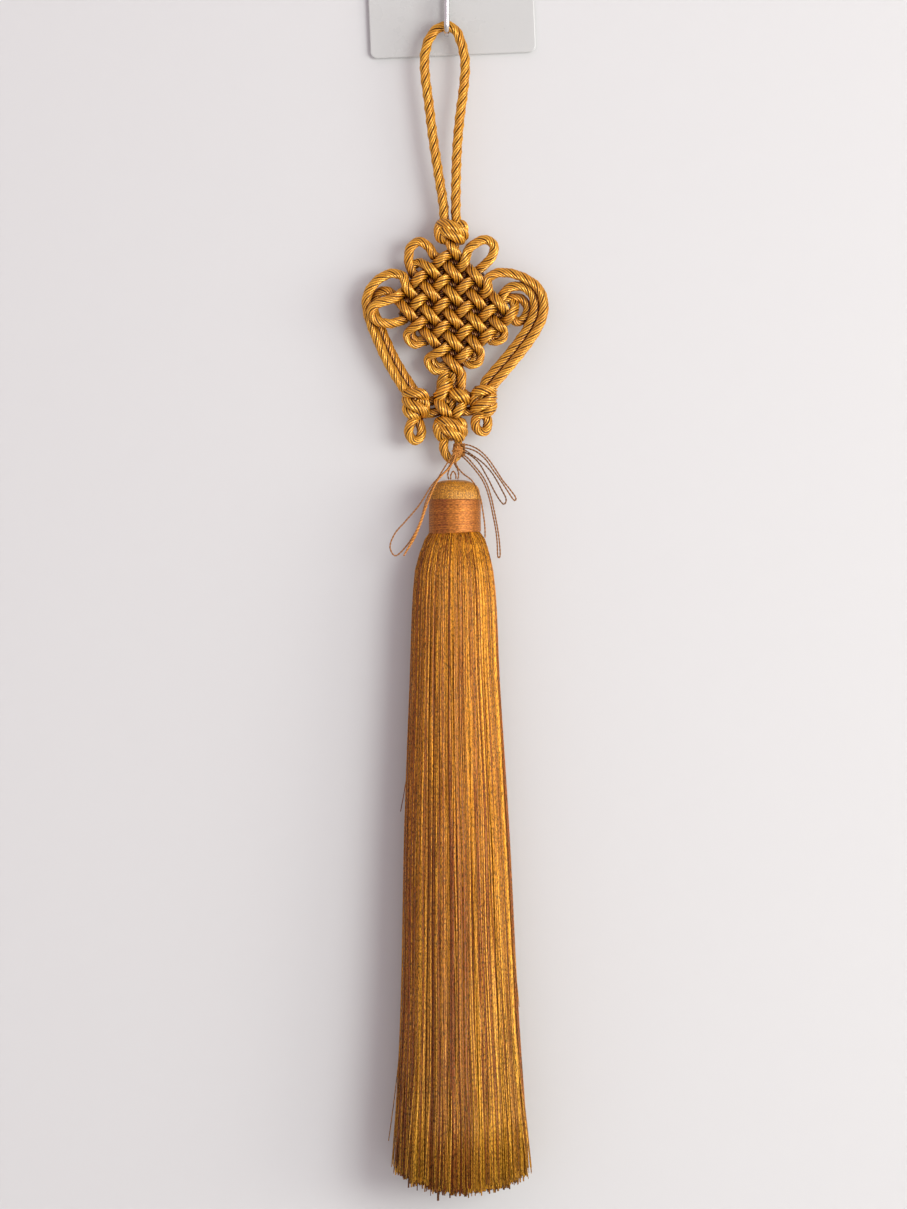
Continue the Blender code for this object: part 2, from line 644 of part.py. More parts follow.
def head_profile():
    """The domed cap, the neck under the band, and the root that the locks grow from."""
    rows = []
    height = CAP_BOTTOM - CAP_TOP
    for angle in np.linspace(0.0, math.pi / 2, CAP_STEPS + 1):
        share = math.sin(angle) ** (2 / CAP_SQUARENESS)
        drop = 1 - math.cos(angle) ** (2 / CAP_SQUARENESS)
        rows.append((CAP_RADIUS * share, CAP_TOP + height * drop))
    rows += [(NECK_RADIUS, CAP_BOTTOM), (NECK_RADIUS, ROOT_TOP), (ROOT_RADIUS, ROOT_TOP),
             (ROOT_RADIUS, ROOT_BOTTOM), (0.0, ROOT_BOTTOM)]
    return rows


def lock_splines(data):
    """All the locks, ring by ring, as four-sided strands that widen downward."""
    chance = random.Random(LOCK_SEED)
    for share, number, heights in LOCK_RINGS:
        for index in range(number):
            turn = 2 * math.pi / number
            angle = turn * (index + 0.5)
            end = SKIRT_END - SKIRT_END_RISE * (share * math.cos(angle)) ** 2 - SKIRT_RAGGED * chance.random()
            stations = (ROOT_BOTTOM - ROOT_SINK,) + heights + (end,)
            spline = data.splines.new("POLY")
            spline.points.add(len(stations) - 1)
            for point, down in zip(spline.points, stations):
                middle, half_width, half_depth = outline_at(down)
                centre = min(HEAD_PLANE, SKIRT_BACK - half_depth)
                inset = LOCK_RADIUS if down > ROOT_BOTTOM else ROOT_INSET
                reach_right = share * (half_width - inset)
                reach_front = share * (half_depth - inset)
                spacing = 2 * math.sin(turn / 2) * math.hypot(
                    reach_right * math.sin(angle), reach_front * math.cos(angle))
                point.co = (
                    (middle + reach_right * math.cos(angle)) * MM,
                    (centre + reach_front * math.sin(angle)) * MM,
                    -down * MM,
                    1.0,
                )
                point.radius = min((spacing - LOCK_GAP) / 2, LOCK_RADIUS)


def build_tassel(collection, guides):
    head = as_guide(turned("tassel_head", head_profile(), guides))
    data = bpy.data.curves.new("tassel_locks", "CURVE")
    data.dimensions = "3D"
    data.bevel_depth = MM
    data.bevel_resolution = 0
    data.use_fill_caps = True
    lock_splines(data)
    locks = as_guide(mesh_from_curve(add_object("tassel_locks", data, guides), guides))
    bpy.context.view_layer.update()
    evaluated = head.evaluated_get(bpy.context.evaluated_depsgraph_get())
    solid_head = as_guide(add_object("tassel_head_solid", bpy.data.meshes.new_from_object(evaluated), guides))
    solid_head.matrix_world = head.matrix_world
    bpy.data.objects.remove(head, do_unlink=True)
    silk = principled("gold_silk", (0.52, 0.22, 0.04), 0.5)
    return fuse("tassel", [solid_head, locks], collection, guides, silk)


def build_neck_binding(collection):
    inner = NECK_RADIUS + GAP
    profile = [(inner, BAND_BOTTOM), (inner, BAND_TOP), (BAND_RADIUS - EDGE, BAND_TOP),
               (BAND_RADIUS, BAND_TOP + EDGE), (BAND_RADIUS, BAND_BOTTOM - EDGE),
               (BAND_RADIUS - EDGE, BAND_BOTTOM)]
    band = turned("neck_binding", profile, collection, closed=True)
    band.data.materials.append(principled("orange_satin", (0.62, 0.19, 0.02), 0.3))
    return band


def thread(name, rows, guides):
    data = bpy.data.curves.new(name, "CURVE")
    data.dimensions = "3D"
    data.bevel_depth = THREAD_RADIUS * MM
    data.bevel_resolution = 0
    data.use_fill_caps = True
    route = smooth_route(rows, THREAD_STEP)
    spline = data.splines.new("POLY")
    spline.points.add(len(route) - 1)
    for point, row in zip(spline.points, route):
        point.co = (*in_space(*row[:3]), 1.0)
    return as_guide(mesh_from_curve(add_object(name, data, guides), guides))


def build_tie_threads(collection, guides):
    """Threads that leave a small knot bound round the right side of the bottom ring."""
    pieces = []
    for number, below in enumerate(BINDING_TURNS):
        bpy.ops.mesh.primitive_torus_add(major_segments=BINDING_STEPS, minor_segments=BINDING_SIDES,
                                         major_radius=BINDING_RADIUS * MM, minor_radius=BINDING_GIRTH * MM)
        turn = bpy.context.object
        turn.name = f"binding_turn_{number}"
        turn.location = in_space(BINDING_RIGHT, BINDING_DOWN + below, 0.0)
        for holder in list(turn.users_collection):
            holder.objects.unlink(turn)
        guides.objects.link(turn)
        pieces.append(as_guide(turn))
    bead_right, bead_below, bead_behind = BEAD_OFFSET
    bead_centre = in_space(BINDING_RIGHT + bead_right, BINDING_DOWN + bead_below, bead_behind)
    pieces.append(ball("binding_knot", bead_centre, BEAD_REACHES, guides))
    for name, rows in THREADS.items():
        pieces.append(thread(name, rows, guides))
    return fuse("tie_threads", pieces, collection, guides, principled("orange_thread", (0.55, 0.2, 0.03), 0.4))


def build():
    clear_scene()
    knot_tassel = new_collection("chinese_knot_tassel")
    guides = new_collection("guides")
    build_plate(knot_tassel)
    build_hook(knot_tassel, guides)
    build_knotted_cord(knot_tassel, guides)
    build_tie_threads(knot_tassel, guides)
    build_tassel(knot_tassel, guides)
    build_neck_binding(knot_tassel)


build()
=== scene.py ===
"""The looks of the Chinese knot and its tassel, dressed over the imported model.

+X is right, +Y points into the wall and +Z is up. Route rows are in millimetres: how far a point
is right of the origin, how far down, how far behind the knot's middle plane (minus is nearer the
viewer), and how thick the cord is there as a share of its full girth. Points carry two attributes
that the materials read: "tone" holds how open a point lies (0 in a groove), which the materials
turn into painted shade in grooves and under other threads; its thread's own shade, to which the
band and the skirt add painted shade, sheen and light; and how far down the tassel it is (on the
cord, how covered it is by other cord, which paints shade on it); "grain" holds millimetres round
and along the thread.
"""
import math

import bpy
import numpy as np
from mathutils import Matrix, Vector

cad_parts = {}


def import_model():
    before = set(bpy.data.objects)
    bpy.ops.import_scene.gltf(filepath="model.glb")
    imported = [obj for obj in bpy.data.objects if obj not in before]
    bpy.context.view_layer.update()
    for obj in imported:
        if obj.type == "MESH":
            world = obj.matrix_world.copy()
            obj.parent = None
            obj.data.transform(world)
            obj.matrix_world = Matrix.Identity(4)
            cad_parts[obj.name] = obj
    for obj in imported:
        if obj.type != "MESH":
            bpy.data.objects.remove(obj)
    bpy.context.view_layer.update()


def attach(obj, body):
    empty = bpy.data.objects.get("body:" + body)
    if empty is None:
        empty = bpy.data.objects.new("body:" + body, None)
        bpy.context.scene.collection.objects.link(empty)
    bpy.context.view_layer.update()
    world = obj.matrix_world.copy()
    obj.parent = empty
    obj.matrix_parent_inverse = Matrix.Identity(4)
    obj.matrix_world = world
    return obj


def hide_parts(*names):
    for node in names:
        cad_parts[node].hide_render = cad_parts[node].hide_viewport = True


MM = 0.001

# Twisted cord: three strands of three yarns each
CORD_LAY = 14.4
CORD_STRANDS, STRAND_YARNS, YARN_POINTS = 3, 3, 6
STRAND_RADIUS, STRAND_OFFSET, YARN_GROOVE = 1.40, 0.42, 0.42
STRAND_SHADES = (0.3, 0.7)
# The hanging loop's strands stand further apart: strand radius, offset and yarn groove
LOOP_SECTION = (1.30, 0.60, 0.50)
CORD_STEP = 0.55
# Points worked out between two rows of a route
SUBSTEPS = 24
# Any direction that no route starts in
START_SIDE = (0.31, 0.92, 0.24)
# Steps along the smooth outlines of the hook's wire and the skirt
OUTLINE_STEP = 0.5
KNOT_PLANE = -8.0

# Diamond of six cords each way, woven one over and one under
DIAMOND_CORDS = 6
DIAMOND_RIGHT = 1.1
DIAMOND_DOWN = 121.3
PITCH_RIGHT = 4.14
PITCH_DOWN_RIGHTWARD = 4.81
PITCH_DOWN_LEFTWARD = 3.47
WEAVE_DEPTH = 1.7
WEAVE_GIRTH = 1.02
BACK_LAYER, BACK_DEPTH, BACK_GIRTH = 3.6, 0.9, 0.95
# How far a cord runs past its last crossing, and where two cords enter from the knot above
STUB = 0.45
LEFT_ENTRY, RIGHT_ENTRY = (-1.3, 95.5, 0.4), (1.9, 95.5, 0.4)

# Cover, painted as shade where other cord lies close: how far other cord is felt, how strongly, and the rings
# looked at together
COVER_REACH, COVER_FADE, COVER_STRENGTH, COVER_RINGS, COVER_STRIDE = 4.2, 2.2, 0.55, 20, 3

# Rows: right, down
HANGING_LOOP = [
    (-2.0, 91.5), (-2.3, 85.3), (-4.3, 72.4), (-6.1, 60.5), (-7.6, 48.2), (-9.0, 37.1), (-9.0, 30.2),
    (-7.2, 24.3), (-4.4, 21.1), (-1.2, 20.0), (1.7, 21.4), (3.8, 25.4), (5.4, 32.8), (5.0, 41.8),
    (3.6, 52.6), (2.6, 63.7), (2.2, 74.9), (2.1, 85.0), (2.2, 91.5),
]

# Rows: right, down, behind
LEFT_EAR = [
    (-11.4, 111.8, 2.8), (-13.4, 109.2, 1.4), (-14.8, 104.8, 0.3), (-14.4, 100.4, -0.3), (-11.5, 97.8, -0.3),
    (-7.9, 99.4, 0.0), (-5.9, 102.6, 0.6),
]
RIGHT_EAR = [
    (7.6, 110.6, 2.8), (10.4, 107.8, 1.4), (14.6, 103.8, 0.3), (15.9, 99.7, -0.3), (13.3, 97.1, -0.3),
    (9.0, 98.5, -0.2), (6.4, 101.2, -0.4),
]
LEFT_CORNER_EAR = [
    (-24.2, 119.6, -2.6), (-27.2, 121.2, -3.1), (-28.2, 123.5, -3.1), (-27.0, 125.8, -3.0),
    (-24.0, 127.2, -2.4), (-20.4, 127.2, -1.0), (-17.0, 126.0, 0.8), (-14.2, 124.2, 2.6),
]
RIGHT_CORNER_EAR = [
    (24.4, 126.6, 2.4), (27.2, 124.6, 3.1), (28.0, 121.2, 3.1), (25.8, 118.3, 2.9), (21.6, 117.9, 2.4),
    (18.8, 119.0, 2.6),
]
LEFT_WING_OUTER = [
    (-13.4, 154.4, 0.0), (-16.4, 150.9, -0.2), (-18.9, 147.2, -0.4), (-22.8, 140.4, -0.4),
    (-26.3, 132.8, -0.4), (-28.3, 127.8, -0.3), (-29.8, 122.6, 0.0), (-29.8, 117.2, 0.0),
    (-26.2, 111.8, 0.0), (-21.0, 109.2, 0.0), (-16.9, 110.4, -0.6),
]
LEFT_WING_INNER = [
    (-11.6, 154.0, 1.0), (-13.9, 149.6, 2.0), (-16.4, 145.9, 2.4), (-20.3, 139.1, 2.6),
    (-23.8, 131.5, 2.8), (-25.6, 127.0, 2.9), (-27.3, 122.6, 3.2), (-27.6, 118.6, 3.2),
    (-25.8, 116.0, 2.8), (-22.6, 115.4, 2.0),
]
RIGHT_WING_OUTER = [
    (13.4, 153.6, 0.0), (15.0, 150.4, -0.4), (17.8, 147.0, -0.6), (22.4, 141.6, -0.6),
    (27.6, 135.0, -0.6), (31.4, 129.2, -0.6), (33.5, 124.0, -0.6), (33.6, 118.8, -0.6),
    (31.8, 114.6, -0.6), (27.8, 111.4, -0.4), (22.0, 109.2, 0.0), (17.0, 109.1, 0.0), (13.7, 111.2, -0.8),
]
RIGHT_WING_INNER = [
    (11.85, 153.1, 0.6), (12.65, 148.5, 0.8), (15.45, 144.9, 0.8), (20.05, 139.5, 0.8), (25.25, 132.9, 0.8),
    (28.65, 127.6, 0.8), (30.55, 122.9, 0.8), (30.35, 118.7, 0.8), (28.65, 115.5, 0.8), (25.25, 113.7, 0.8),
    (21.35, 114.4, 1.0), (19.15, 116.7, 1.3),
]
# Rows: right, down, behind, girth
LEFT_UPPER_BIGHT = [
    (-15.4, 130.6, 0.0, 0.8), (-15.2, 133.2, -0.2, 0.78), (-12.6, 135.0, 0.0, 0.78), (-8.8, 133.4, 1.0, 0.85),
]
LEFT_LOWER_BIGHT = [
    (-7.9, 139.6, 0.0, 0.8), (-7.7, 142.2, -0.2, 0.78), (-5.2, 144.4, 0.0, 0.78), (-1.2, 143.4, 1.4, 0.85),
]
RIGHT_UPPER_BIGHT = [
    (19.6, 130.0, 0.0, 0.8), (19.2, 132.6, -0.2, 0.78), (16.4, 134.0, 0.0, 0.78), (13.0, 132.2, 1.0, 0.85),
]
RIGHT_LOWER_BIGHT = [
    (11.2, 138.2, 0.0, 0.8), (10.4, 141.2, -0.2, 0.78), (7.6, 142.4, 0.0, 0.78), (4.2, 140.2, 1.0, 0.85),
]
INNER_BIGHTS = [
    [(-13.4, 129.4, 1.4, 0.75), (-13.4, 131.8, 1.0, 0.75), (-11.4, 133.2, 1.0, 0.75),
     (-8.4, 131.6, 1.6, 0.75)],
    [(-5.8, 138.2, 1.4, 0.75), (-5.9, 140.8, 1.0, 0.75), (-4.0, 142.4, 1.0, 0.75), (-1.0, 141.4, 1.6, 0.75)],
    [(17.4, 128.6, 1.4, 0.75), (17.5, 131.0, 1.0, 0.75), (15.6, 132.1, 1.0, 0.75), (12.8, 130.6, 1.6, 0.75)],
    [(9.0, 136.6, 1.4, 0.75), (9.0, 139.2, 1.0, 0.75), (7.2, 140.4, 1.0, 0.75), (4.4, 138.6, 1.6, 0.75)],
]
# Rows: right, down, behind
LEFT_EAR_FOOT = [(-13.8, 106.2, 1.6), (-11.0, 105.3, 1.4)]
RIGHT_CORNER_FOOT = [(22.4, 118.8, 2.8), (23.4, 121.4, 0.8)]
# Rows: right, down, behind, girth. The column's pads are fuller than its links
LEFT_COLUMN = [
    (-2.2, 146.2, 0.6, 0.95), (-3.4, 149.4, 0.9, 0.95), (-2.6, 152.6, 1.2, 0.95), (-1.0, 156.0, 1.4, 0.95),
]
RIGHT_COLUMN = [
    (4.0, 145.2, 0.0, 1.0), (4.2, 148.6, 0.2, 0.95), (3.6, 151.6, 0.9, 0.95), (2.0, 155.4, 1.4, 0.95),
]
COLUMN_PADS = [
    [(-4.6, 154.8, 0.9, 1.1), (-4.2, 153.6, -0.9, 1.2), (-2.6, 151.6, -1.9, 1.25), (-1.0, 149.6, -1.2, 1.2),
     (-0.6, 148.4, 0.6, 1.1)],
    [(-4.0, 154.6, 0.9, 1.1), (-3.8, 155.8, -0.9, 1.15), (-2.6, 157.8, -1.9, 1.2), (-1.2, 159.8, -1.2, 1.15),
     (-0.4, 161.0, 0.6, 1.1)],
    [(0.6, 151.6, 0.9, 1.1), (1.2, 152.2, -1.0, 1.2), (3.6, 153.2, -2.0, 1.3), (5.8, 154.4, -1.0, 1.2),
     (6.4, 155.0, 0.8, 1.1)],
    [(5.4, 155.4, 0.8, 0.95), (4.6, 156.8, -0.9, 1.0), (2.6, 159.4, -1.3, 1.0), (1.2, 161.6, 0.4, 1.0)],
]
# Rows: right, down, behind
LINKS = [
    [(-11.0, 154.6, 1.6), (-6.6, 155.0, 1.9), (-2.8, 153.0, 1.4)],
    [(-11.0, 159.6, 1.0), (-6.8, 159.4, 1.6), (-2.4, 158.4, 1.2)],
    [(3.8, 151.4, 1.8), (6.6, 153.4, 1.6), (10.8, 154.6, 1.2)],
    [(3.4, 158.6, 1.2), (7.0, 158.8, 1.4), (11.0, 157.2, 0.6)],
    [(1.0, 144.6, 1.0), (0.9, 149.0, 1.8), (0.7, 155.0, 1.8), (0.4, 161.6, 0.8)],
    [(3.2, 141.0, 2.6), (2.8, 146.5, 2.6), (3.2, 151.0, 2.2), (4.2, 155.0, 2.0)],
]
LEFT_END_LOOP = [
    (-10.2, 158.6, 0.6), (-12.8, 161.4, -0.6), (-14.5, 164.2, -0.8), (-14.7, 167.2, -0.4),
    (-13.0, 169.3, 0.0), (-11.0, 168.6, 0.2), (-10.3, 166.2, 0.4), (-10.8, 163.4, 0.8),
    (-12.6, 160.2, 1.2),
]
RIGHT_END_LOOP = [
    (13.6, 157.2, 0.8), (12.2, 159.4, -0.6), (9.8, 160.8, -0.8), (9.0, 163.2, -0.6), (10.4, 165.9, -0.2),
    (12.6, 166.0, 0.2), (13.6, 163.8, 0.4), (13.2, 161.2, 0.6), (11.4, 158.4, 1.0),
]

# Rows: right, down, behind, girth
BOTTOM_RING = [
    (-0.6, 166.0, 0.6, 0.95), (-1.9, 168.6, 0.0, 0.95), (-2.3, 171.6, -0.2, 0.98), (-1.4, 174.6, 0.0, 0.95),
    (0.6, 176.2, 0.2, 0.9), (2.6, 175.2, 0.4, 0.8), (3.5, 172.6, 0.5, 0.75), (3.0, 170.0, 0.6, 0.8),
    (1.6, 167.0, 0.8, 0.9),
]

# Each knot's turns of cord, as offsets from its middle. Rows: right, down, behind, girth
TALL_KNOT = [
    [(-2.0, -3.8, 1.4, 1.0), (-4.0, -3.0, -0.6, 1.05), (-2.2, -3.0, -3.0, 1.1), (1.0, -1.6, -3.6, 1.1),
     (3.6, 0.2, -2.6, 1.1), (4.6, 1.6, -0.2, 1.05), (3.0, 2.4, 2.0, 1.0)],
    [(-2.6, -1.4, -0.8, 1.0), (-2.6, -0.6, -2.6, 1.1), (-0.6, 0.9, -3.5, 1.1), (1.8, 2.4, -3.0, 1.1),
     (3.4, 3.4, -1.4, 1.05), (3.4, 3.4, 1.2, 1.0)],
    [(-1.6, -3.4, 0.8, 1.0), (-3.9, -2.2, -1.0, 1.1), (-4.4, 0.4, -1.8, 1.15), (-3.6, 2.8, -1.2, 1.1),
     (-1.4, 3.8, 0.4, 1.0)],
    [(1.6, -3.6, 0.4, 1.0), (3.9, -2.6, -0.4, 1.1), (4.4, -0.8, 0.4, 1.1), (3.0, 0.4, 1.6, 1.0)],
    [(-3.8, 2.2, 0.6, 1.0), (-3.6, 1.6, 2.4, 1.05), (0.2, 0.0, 3.4, 1.1), (3.6, -1.6, 2.4, 1.05),
     (4.0, -2.2, 0.4, 1.0)],
    [(-3.8, -1.2, 0.6, 1.0), (-3.2, -1.8, 2.2, 1.0), (0.0, -2.8, 2.8, 1.05), (3.0, -3.4, 1.0, 1.0)],
    [(-2.0, 3.4, 0.6, 1.0), (0.0, 2.8, 2.8, 1.05), (3.2, 1.8, 2.2, 1.0), (3.8, 1.2, 0.6, 1.0)],
    [(-0.8, -3.4, 0.0, 1.0), (0.6, 0.0, -0.8, 1.3), (-0.6, 3.4, 0.0, 1.0)],
]
SIDE_KNOT = [
    [(-2.4, -4.6, 1.0, 1.0), (-3.4, -3.6, -0.8, 1.05), (-1.4, -3.6, -2.6, 1.1), (1.4, -3.4, -2.8, 1.1),
     (3.0, -2.4, -1.2, 1.05), (2.6, -1.4, 0.8, 1.0)],
    [(-3.0, -2.2, 0.8, 1.0), (-3.3, -1.0, -1.2, 1.1), (-1.6, 0.4, -2.9, 1.15), (1.2, 1.8, -2.8, 1.15),
     (3.0, 3.2, -1.2, 1.1), (2.8, 4.0, 0.8, 1.0)],
    [(-3.2, 0.6, 0.6, 1.0), (-3.2, 2.4, -0.8, 1.1), (-1.6, 4.0, -1.6, 1.1), (0.6, 4.8, -0.4, 1.0)],
    [(1.4, -2.4, -0.6, 1.0), (3.0, -0.6, -1.2, 1.05), (3.3, 1.4, -0.4, 1.05), (2.2, 2.8, 0.8, 1.0)],
    [(-3.2, 2.4, 0.4, 1.0), (-2.4, 1.6, 2.0, 1.05), (0.4, 0.2, 2.8, 1.1), (2.6, -1.4, 2.0, 1.05),
     (3.2, -2.4, 0.4, 1.0)],
    [(-3.0, -1.6, 0.6, 1.0), (-1.8, -2.8, 2.0, 1.05), (0.6, -3.6, 2.2, 1.05), (2.6, -3.8, 0.6, 1.0)],
    [(-2.2, 4.2, 0.6, 1.0), (0.0, 3.6, 2.4, 1.05), (2.2, 3.0, 1.8, 1.05), (3.0, 2.2, 0.4, 1.0)],
    [(-0.4, -3.8, 0.2, 1.0), (0.4, 0.0, -0.6, 1.3), (-0.4, 3.8, 0.2, 1.0)],
]
# Rows: its turns, right, down, -1 where it is the other way round, and its height's share
KNOTS = [
    (TALL_KNOT, 0.4, 94.2, 1, 0.86), (TALL_KNOT, 0.1, 165.2, 1, 0.88), (SIDE_KNOT, -12.2, 156.0, 1, 1.0),
    (SIDE_KNOT, 12.0, 155.0, -1, 1.0),
]

# Thread routes. Rows: right, down, behind, and the girth of left_end
THREADS = {
    "long_loop": [
        (3.8, 171.8, -1.6), (6.9, 172.4, -2.2), (9.7, 173.6, -3.0), (12.9, 176.4, -3.6),
        (15.7, 180.4, -3.9), (18.5, 184.3, -4.1), (21.0, 188.1, -4.2), (22.7, 190.6, -4.2),
        (23.4, 191.1, -4.2), (23.7, 190.3, -4.2), (21.5, 187.0, -4.2), (19.0, 183.9, -4.1),
        (16.4, 179.9, -4.0), (13.5, 175.8, -3.8), (10.3, 172.8, -3.4), (7.0, 171.2, -2.8),
        (4.0, 170.8, -2.2),
    ],
    "middle_loop": [
        (4.2, 173.2, -1.0), (7.1, 174.6, -2.0), (10.1, 177.2, -2.8), (13.7, 183.2, -3.3),
        (15.9, 187.6, -3.4), (18.1, 191.2, -3.4), (19.4, 192.4, -3.4), (20.2, 191.0, -3.4),
        (18.4, 186.8, -3.4), (14.6, 180.5, -3.2), (11.1, 176.9, -2.9), (8.1, 174.7, -2.5),
        (4.4, 172.2, -1.8),
    ],
    "drooping_loop": [
        (3.8, 174.6, -1.6), (6.0, 176.6, -2.6), (8.4, 179.3, -3.4), (11.2, 183.0, -4.0),
        (12.7, 185.9, -4.4), (14.2, 190.6, -4.9), (15.3, 195.7, -5.6), (16.4, 201.5, -6.9),
        (16.9, 205.9, -7.6), (17.2, 211.3, -8.2), (17.5, 211.8, -8.2), (17.9, 211.2, -8.2),
        (17.7, 205.8, -7.6), (17.1, 201.3, -6.9), (16.0, 195.4, -5.6), (14.9, 190.3, -4.9),
        (13.4, 185.5, -4.4), (11.8, 182.4, -4.0), (9.0, 178.8, -3.4), (6.6, 176.0, -2.8),
        (4.4, 174.2, -2.2),
    ],
    "cap_edge_thread": [
        (2.2, 174.6, -2.4), (2.2, 178.0, -3.2), (4.3, 181.0, -4.2), (8.1, 184.2, -6.0),
        (10.7, 189.4, -7.2), (11.9, 195.7, -7.6), (12.5, 200.4, -8.0), (12.6, 204.4, -8.8),
    ],
    "left_loop": [
        (1.6, 174.0, -2.4), (-0.4, 179.0, -4.0), (-3.4, 182.3, -6.6), (-6.3, 185.4, -8.0),
        (-11.2, 193.0, -8.0), (-16.0, 198.6, -7.6), (-19.9, 203.2, -7.0), (-21.5, 208.0, -6.8),
        (-19.7, 210.9, -6.8), (-15.8, 207.6, -6.8), (-11.2, 200.0, -7.0), (-8.2, 190.4, -6.6),
        (-3.2, 181.2, -4.2), (1.9, 173.2, -3.0),
    ],
    "left_end": [
        (2.3, 174.0, -2.8, 1.0), (0.5, 178.4, -4.6, 1.0), (-4.4, 184.0, -8.4, 1.1),
        (-7.7, 191.2, -9.7, 1.2), (-10.4, 198.6, -9.4, 1.7), (-13.1, 204.9, -8.6, 1.8),
        (-16.6, 211.0, -8.2, 1.0),
    ],
    "left_carrier": [
        (1.9, 174.3, -2.6), (0.6, 178.0, -2.7), (-0.5, 180.4, -2.6), (-0.8, 182.0, -2.6),
        (-0.4, 183.4, -2.6),
    ],
    "right_carrier": [
        (2.1, 174.3, -2.9), (1.6, 177.6, -2.9), (2.7, 179.8, -2.6), (3.1, 181.8, -2.6),
        (2.8, 183.4, -2.6),
    ],
    "carrier_arch": [
        (0.3, 183.4, -2.9), (0.3, 181.9, -2.9), (1.2, 180.5, -2.9), (2.1, 181.9, -2.9),
        (2.1, 183.4, -2.9),
    ],
}

# Plate and hook. The strap stands a small gap clear of the plate
PLATE_SIDE, PLATE_THICKNESS, PLATE_CORNER, PLATE_EDGE = 60.0, 1.5, 2.5, 0.5
PLATE_TILT = math.radians(2.4)
HOOK_RIGHT, HOOK_WIRE_RADIUS, HOOK_BEND_RADIUS = -1.2, 1.0, 4.2
HOOK_TOP, HOOK_STRAIGHT_DOWN, HOOK_BEND_DOWN = 6.0, 10.0, 19.0
HOOK_RISE_DOWN, HOOK_TIP_DOWN = 14.0, 9.0
STRAP_WIDTH, STRAP_THICKNESS, STRAP_HEIGHT, STRAP_EDGE = 10.0, 1.2, 13.0, 0.35
STRAP_GAP = 0.3

# Tie threads: plies, yarns in each, points round each, ply radius, offset and groove
THREAD_SECTION = (2, 1, 5, 0.24, 0.09, 0.03)
THREAD_LAY, THREAD_STEP = 2.6, 0.45
THREAD_SHADES = {
    "long_loop": 0.42, "middle_loop": 0.22, "drooping_loop": 0.50, "cap_edge_thread": 0.45, "left_loop": 0.5,
    "left_end": 0.95, "left_carrier": 0.3, "right_carrier": 0.35, "carrier_arch": 0.5,
}
BINDING_RIGHT, BINDING_DOWN, BINDING_BEHIND, BINDING_RADIUS = 3.3, 172.4, 0.5, 1.85
BINDING_TURNS, BINDING_HEIGHT, BINDING_TILT, BINDING_CLIMB = 8, 3.6, 0.6, 0.25
BINDING_SWEEP, BINDING_POINTS = 2.15 * math.pi, 19
BINDING_DEPTH, BINDING_GIRTH, BINDING_SHADE = 1.1, 1.25, 0.75
BEAD_RIGHT, BEAD_DOWN, BEAD_BEHIND, BEAD_TURNS = 2.7, 173.2, -2.6, 5
BEAD_HALF_WIDTH, BEAD_HALF_HEIGHT, BEAD_HALF_DEPTH = 1.8, 0.5, 0.5
BEAD_POINTS, BEAD_GIRTH, BEAD_SHADE = 15, 1.3, 0.8

# Locks of the skirt: their edges, shades and how far they stand in
SEED = 7
SKIRT_LOCKS = 120
SKIRT_FOLDS = 14
LOCK_CHANCE = np.random.default_rng(SEED)
LOCK_EDGES = np.cumsum(LOCK_CHANCE.uniform(0.4, 1.6, SKIRT_LOCKS))
LOCK_EDGES *= 2 * math.pi / LOCK_EDGES[-1]
LOCK_MIDDLES = (LOCK_EDGES + np.roll(LOCK_EDGES, 1)) / 2
LOCK_MIDDLES[0] = LOCK_EDGES[0] / 2
LOCK_SHADES = LOCK_CHANCE.uniform(-0.13, 0.13, SKIRT_LOCKS)
LOCK_LIFTS = LOCK_CHANCE.uniform(-0.05, 0.0, SKIRT_LOCKS)
FOLD_SHADES = LOCK_CHANCE.uniform(-0.05, 0.05, SKIRT_FOLDS)
# Painted shade and sheen on the skirt's lower front, from left to right. Rows: share across, shade
LOWER_FRONT_PAINTED_LIGHT = [
    (-1.0, -0.24), (-0.80, -0.28), (-0.74, 0.12), (-0.66, 0.14), (-0.60, -0.24), (-0.2, -0.24), (0.10, -0.40),
    (0.15, 0.0), (0.6, -0.12), (0.75, 0.02), (1.0, -0.06),
]
# The painted shade and sheen come in from this far down, over this length
BANDS_FROM, BANDS_OVER = 260.0, 110.0
# Painted light, where the band shades the roots and where the light falls off low on the skirt
# How much lighter roots and ends are painted, from how far down, and over what length (minus runs upward)
ROOT_PAINTED_LIGHT, ROOT_FROM, ROOT_OVER = 0.24, 222.0, -18.0
END_PAINTED_LIGHT, END_FROM, END_OVER = 0.30, 395.0, 45.0
# Share of threads that are dark, and the shades of these and of the rest
DARK_SHARE, DARK_SHADES, LIGHT_SHADES = 0.45, (-0.6, -0.3), (0.05, 0.6)

# Camera in millimetres, stage and light in metres. The photograph is 907 by 1209 pixels
PIXEL = 0.36
PHOTO_HEIGHT = 1209
CAMERA_RIGHT, CAMERA_DOWN, CAMERA_DISTANCE = 1.26, 228.4, 1800.0
STAGE_SIZE = 4.0
FLOOR_HEIGHT, WALL_GAP = -0.75, 0.0006
PAINT_ROUGHNESS = 0.9
WALL_COLOUR = (0.55, 0.55, 0.545)
SKY_COLOUR = (1.0, 0.87, 0.94)
SKY_STRENGTH = 0.80
# Rows: name, place, target, size, power, colour
LIGHTS = [
    ("key", (1.15, -1.66, -0.05), (0.0, 0.0, -0.24), 1.1, 27.0, (0.96, 1.0, 0.97)),
    ("side", (1.55, -0.75, -0.2), (0.0, 0.0, -0.26), 0.9, 11.0, (1.0, 0.99, 0.93)),
    ("low_fill", (0.1, -1.6, -0.9), (0.0, 0.0, -0.45), 1.2, 4.5, (1.0, 0.95, 0.97)),
    ("back_fill", (0.3, 1.2, 0.2), (0.0, 0.0, -0.22), 1.0, 4.0, (1.0, 1.0, 1.0)),
]

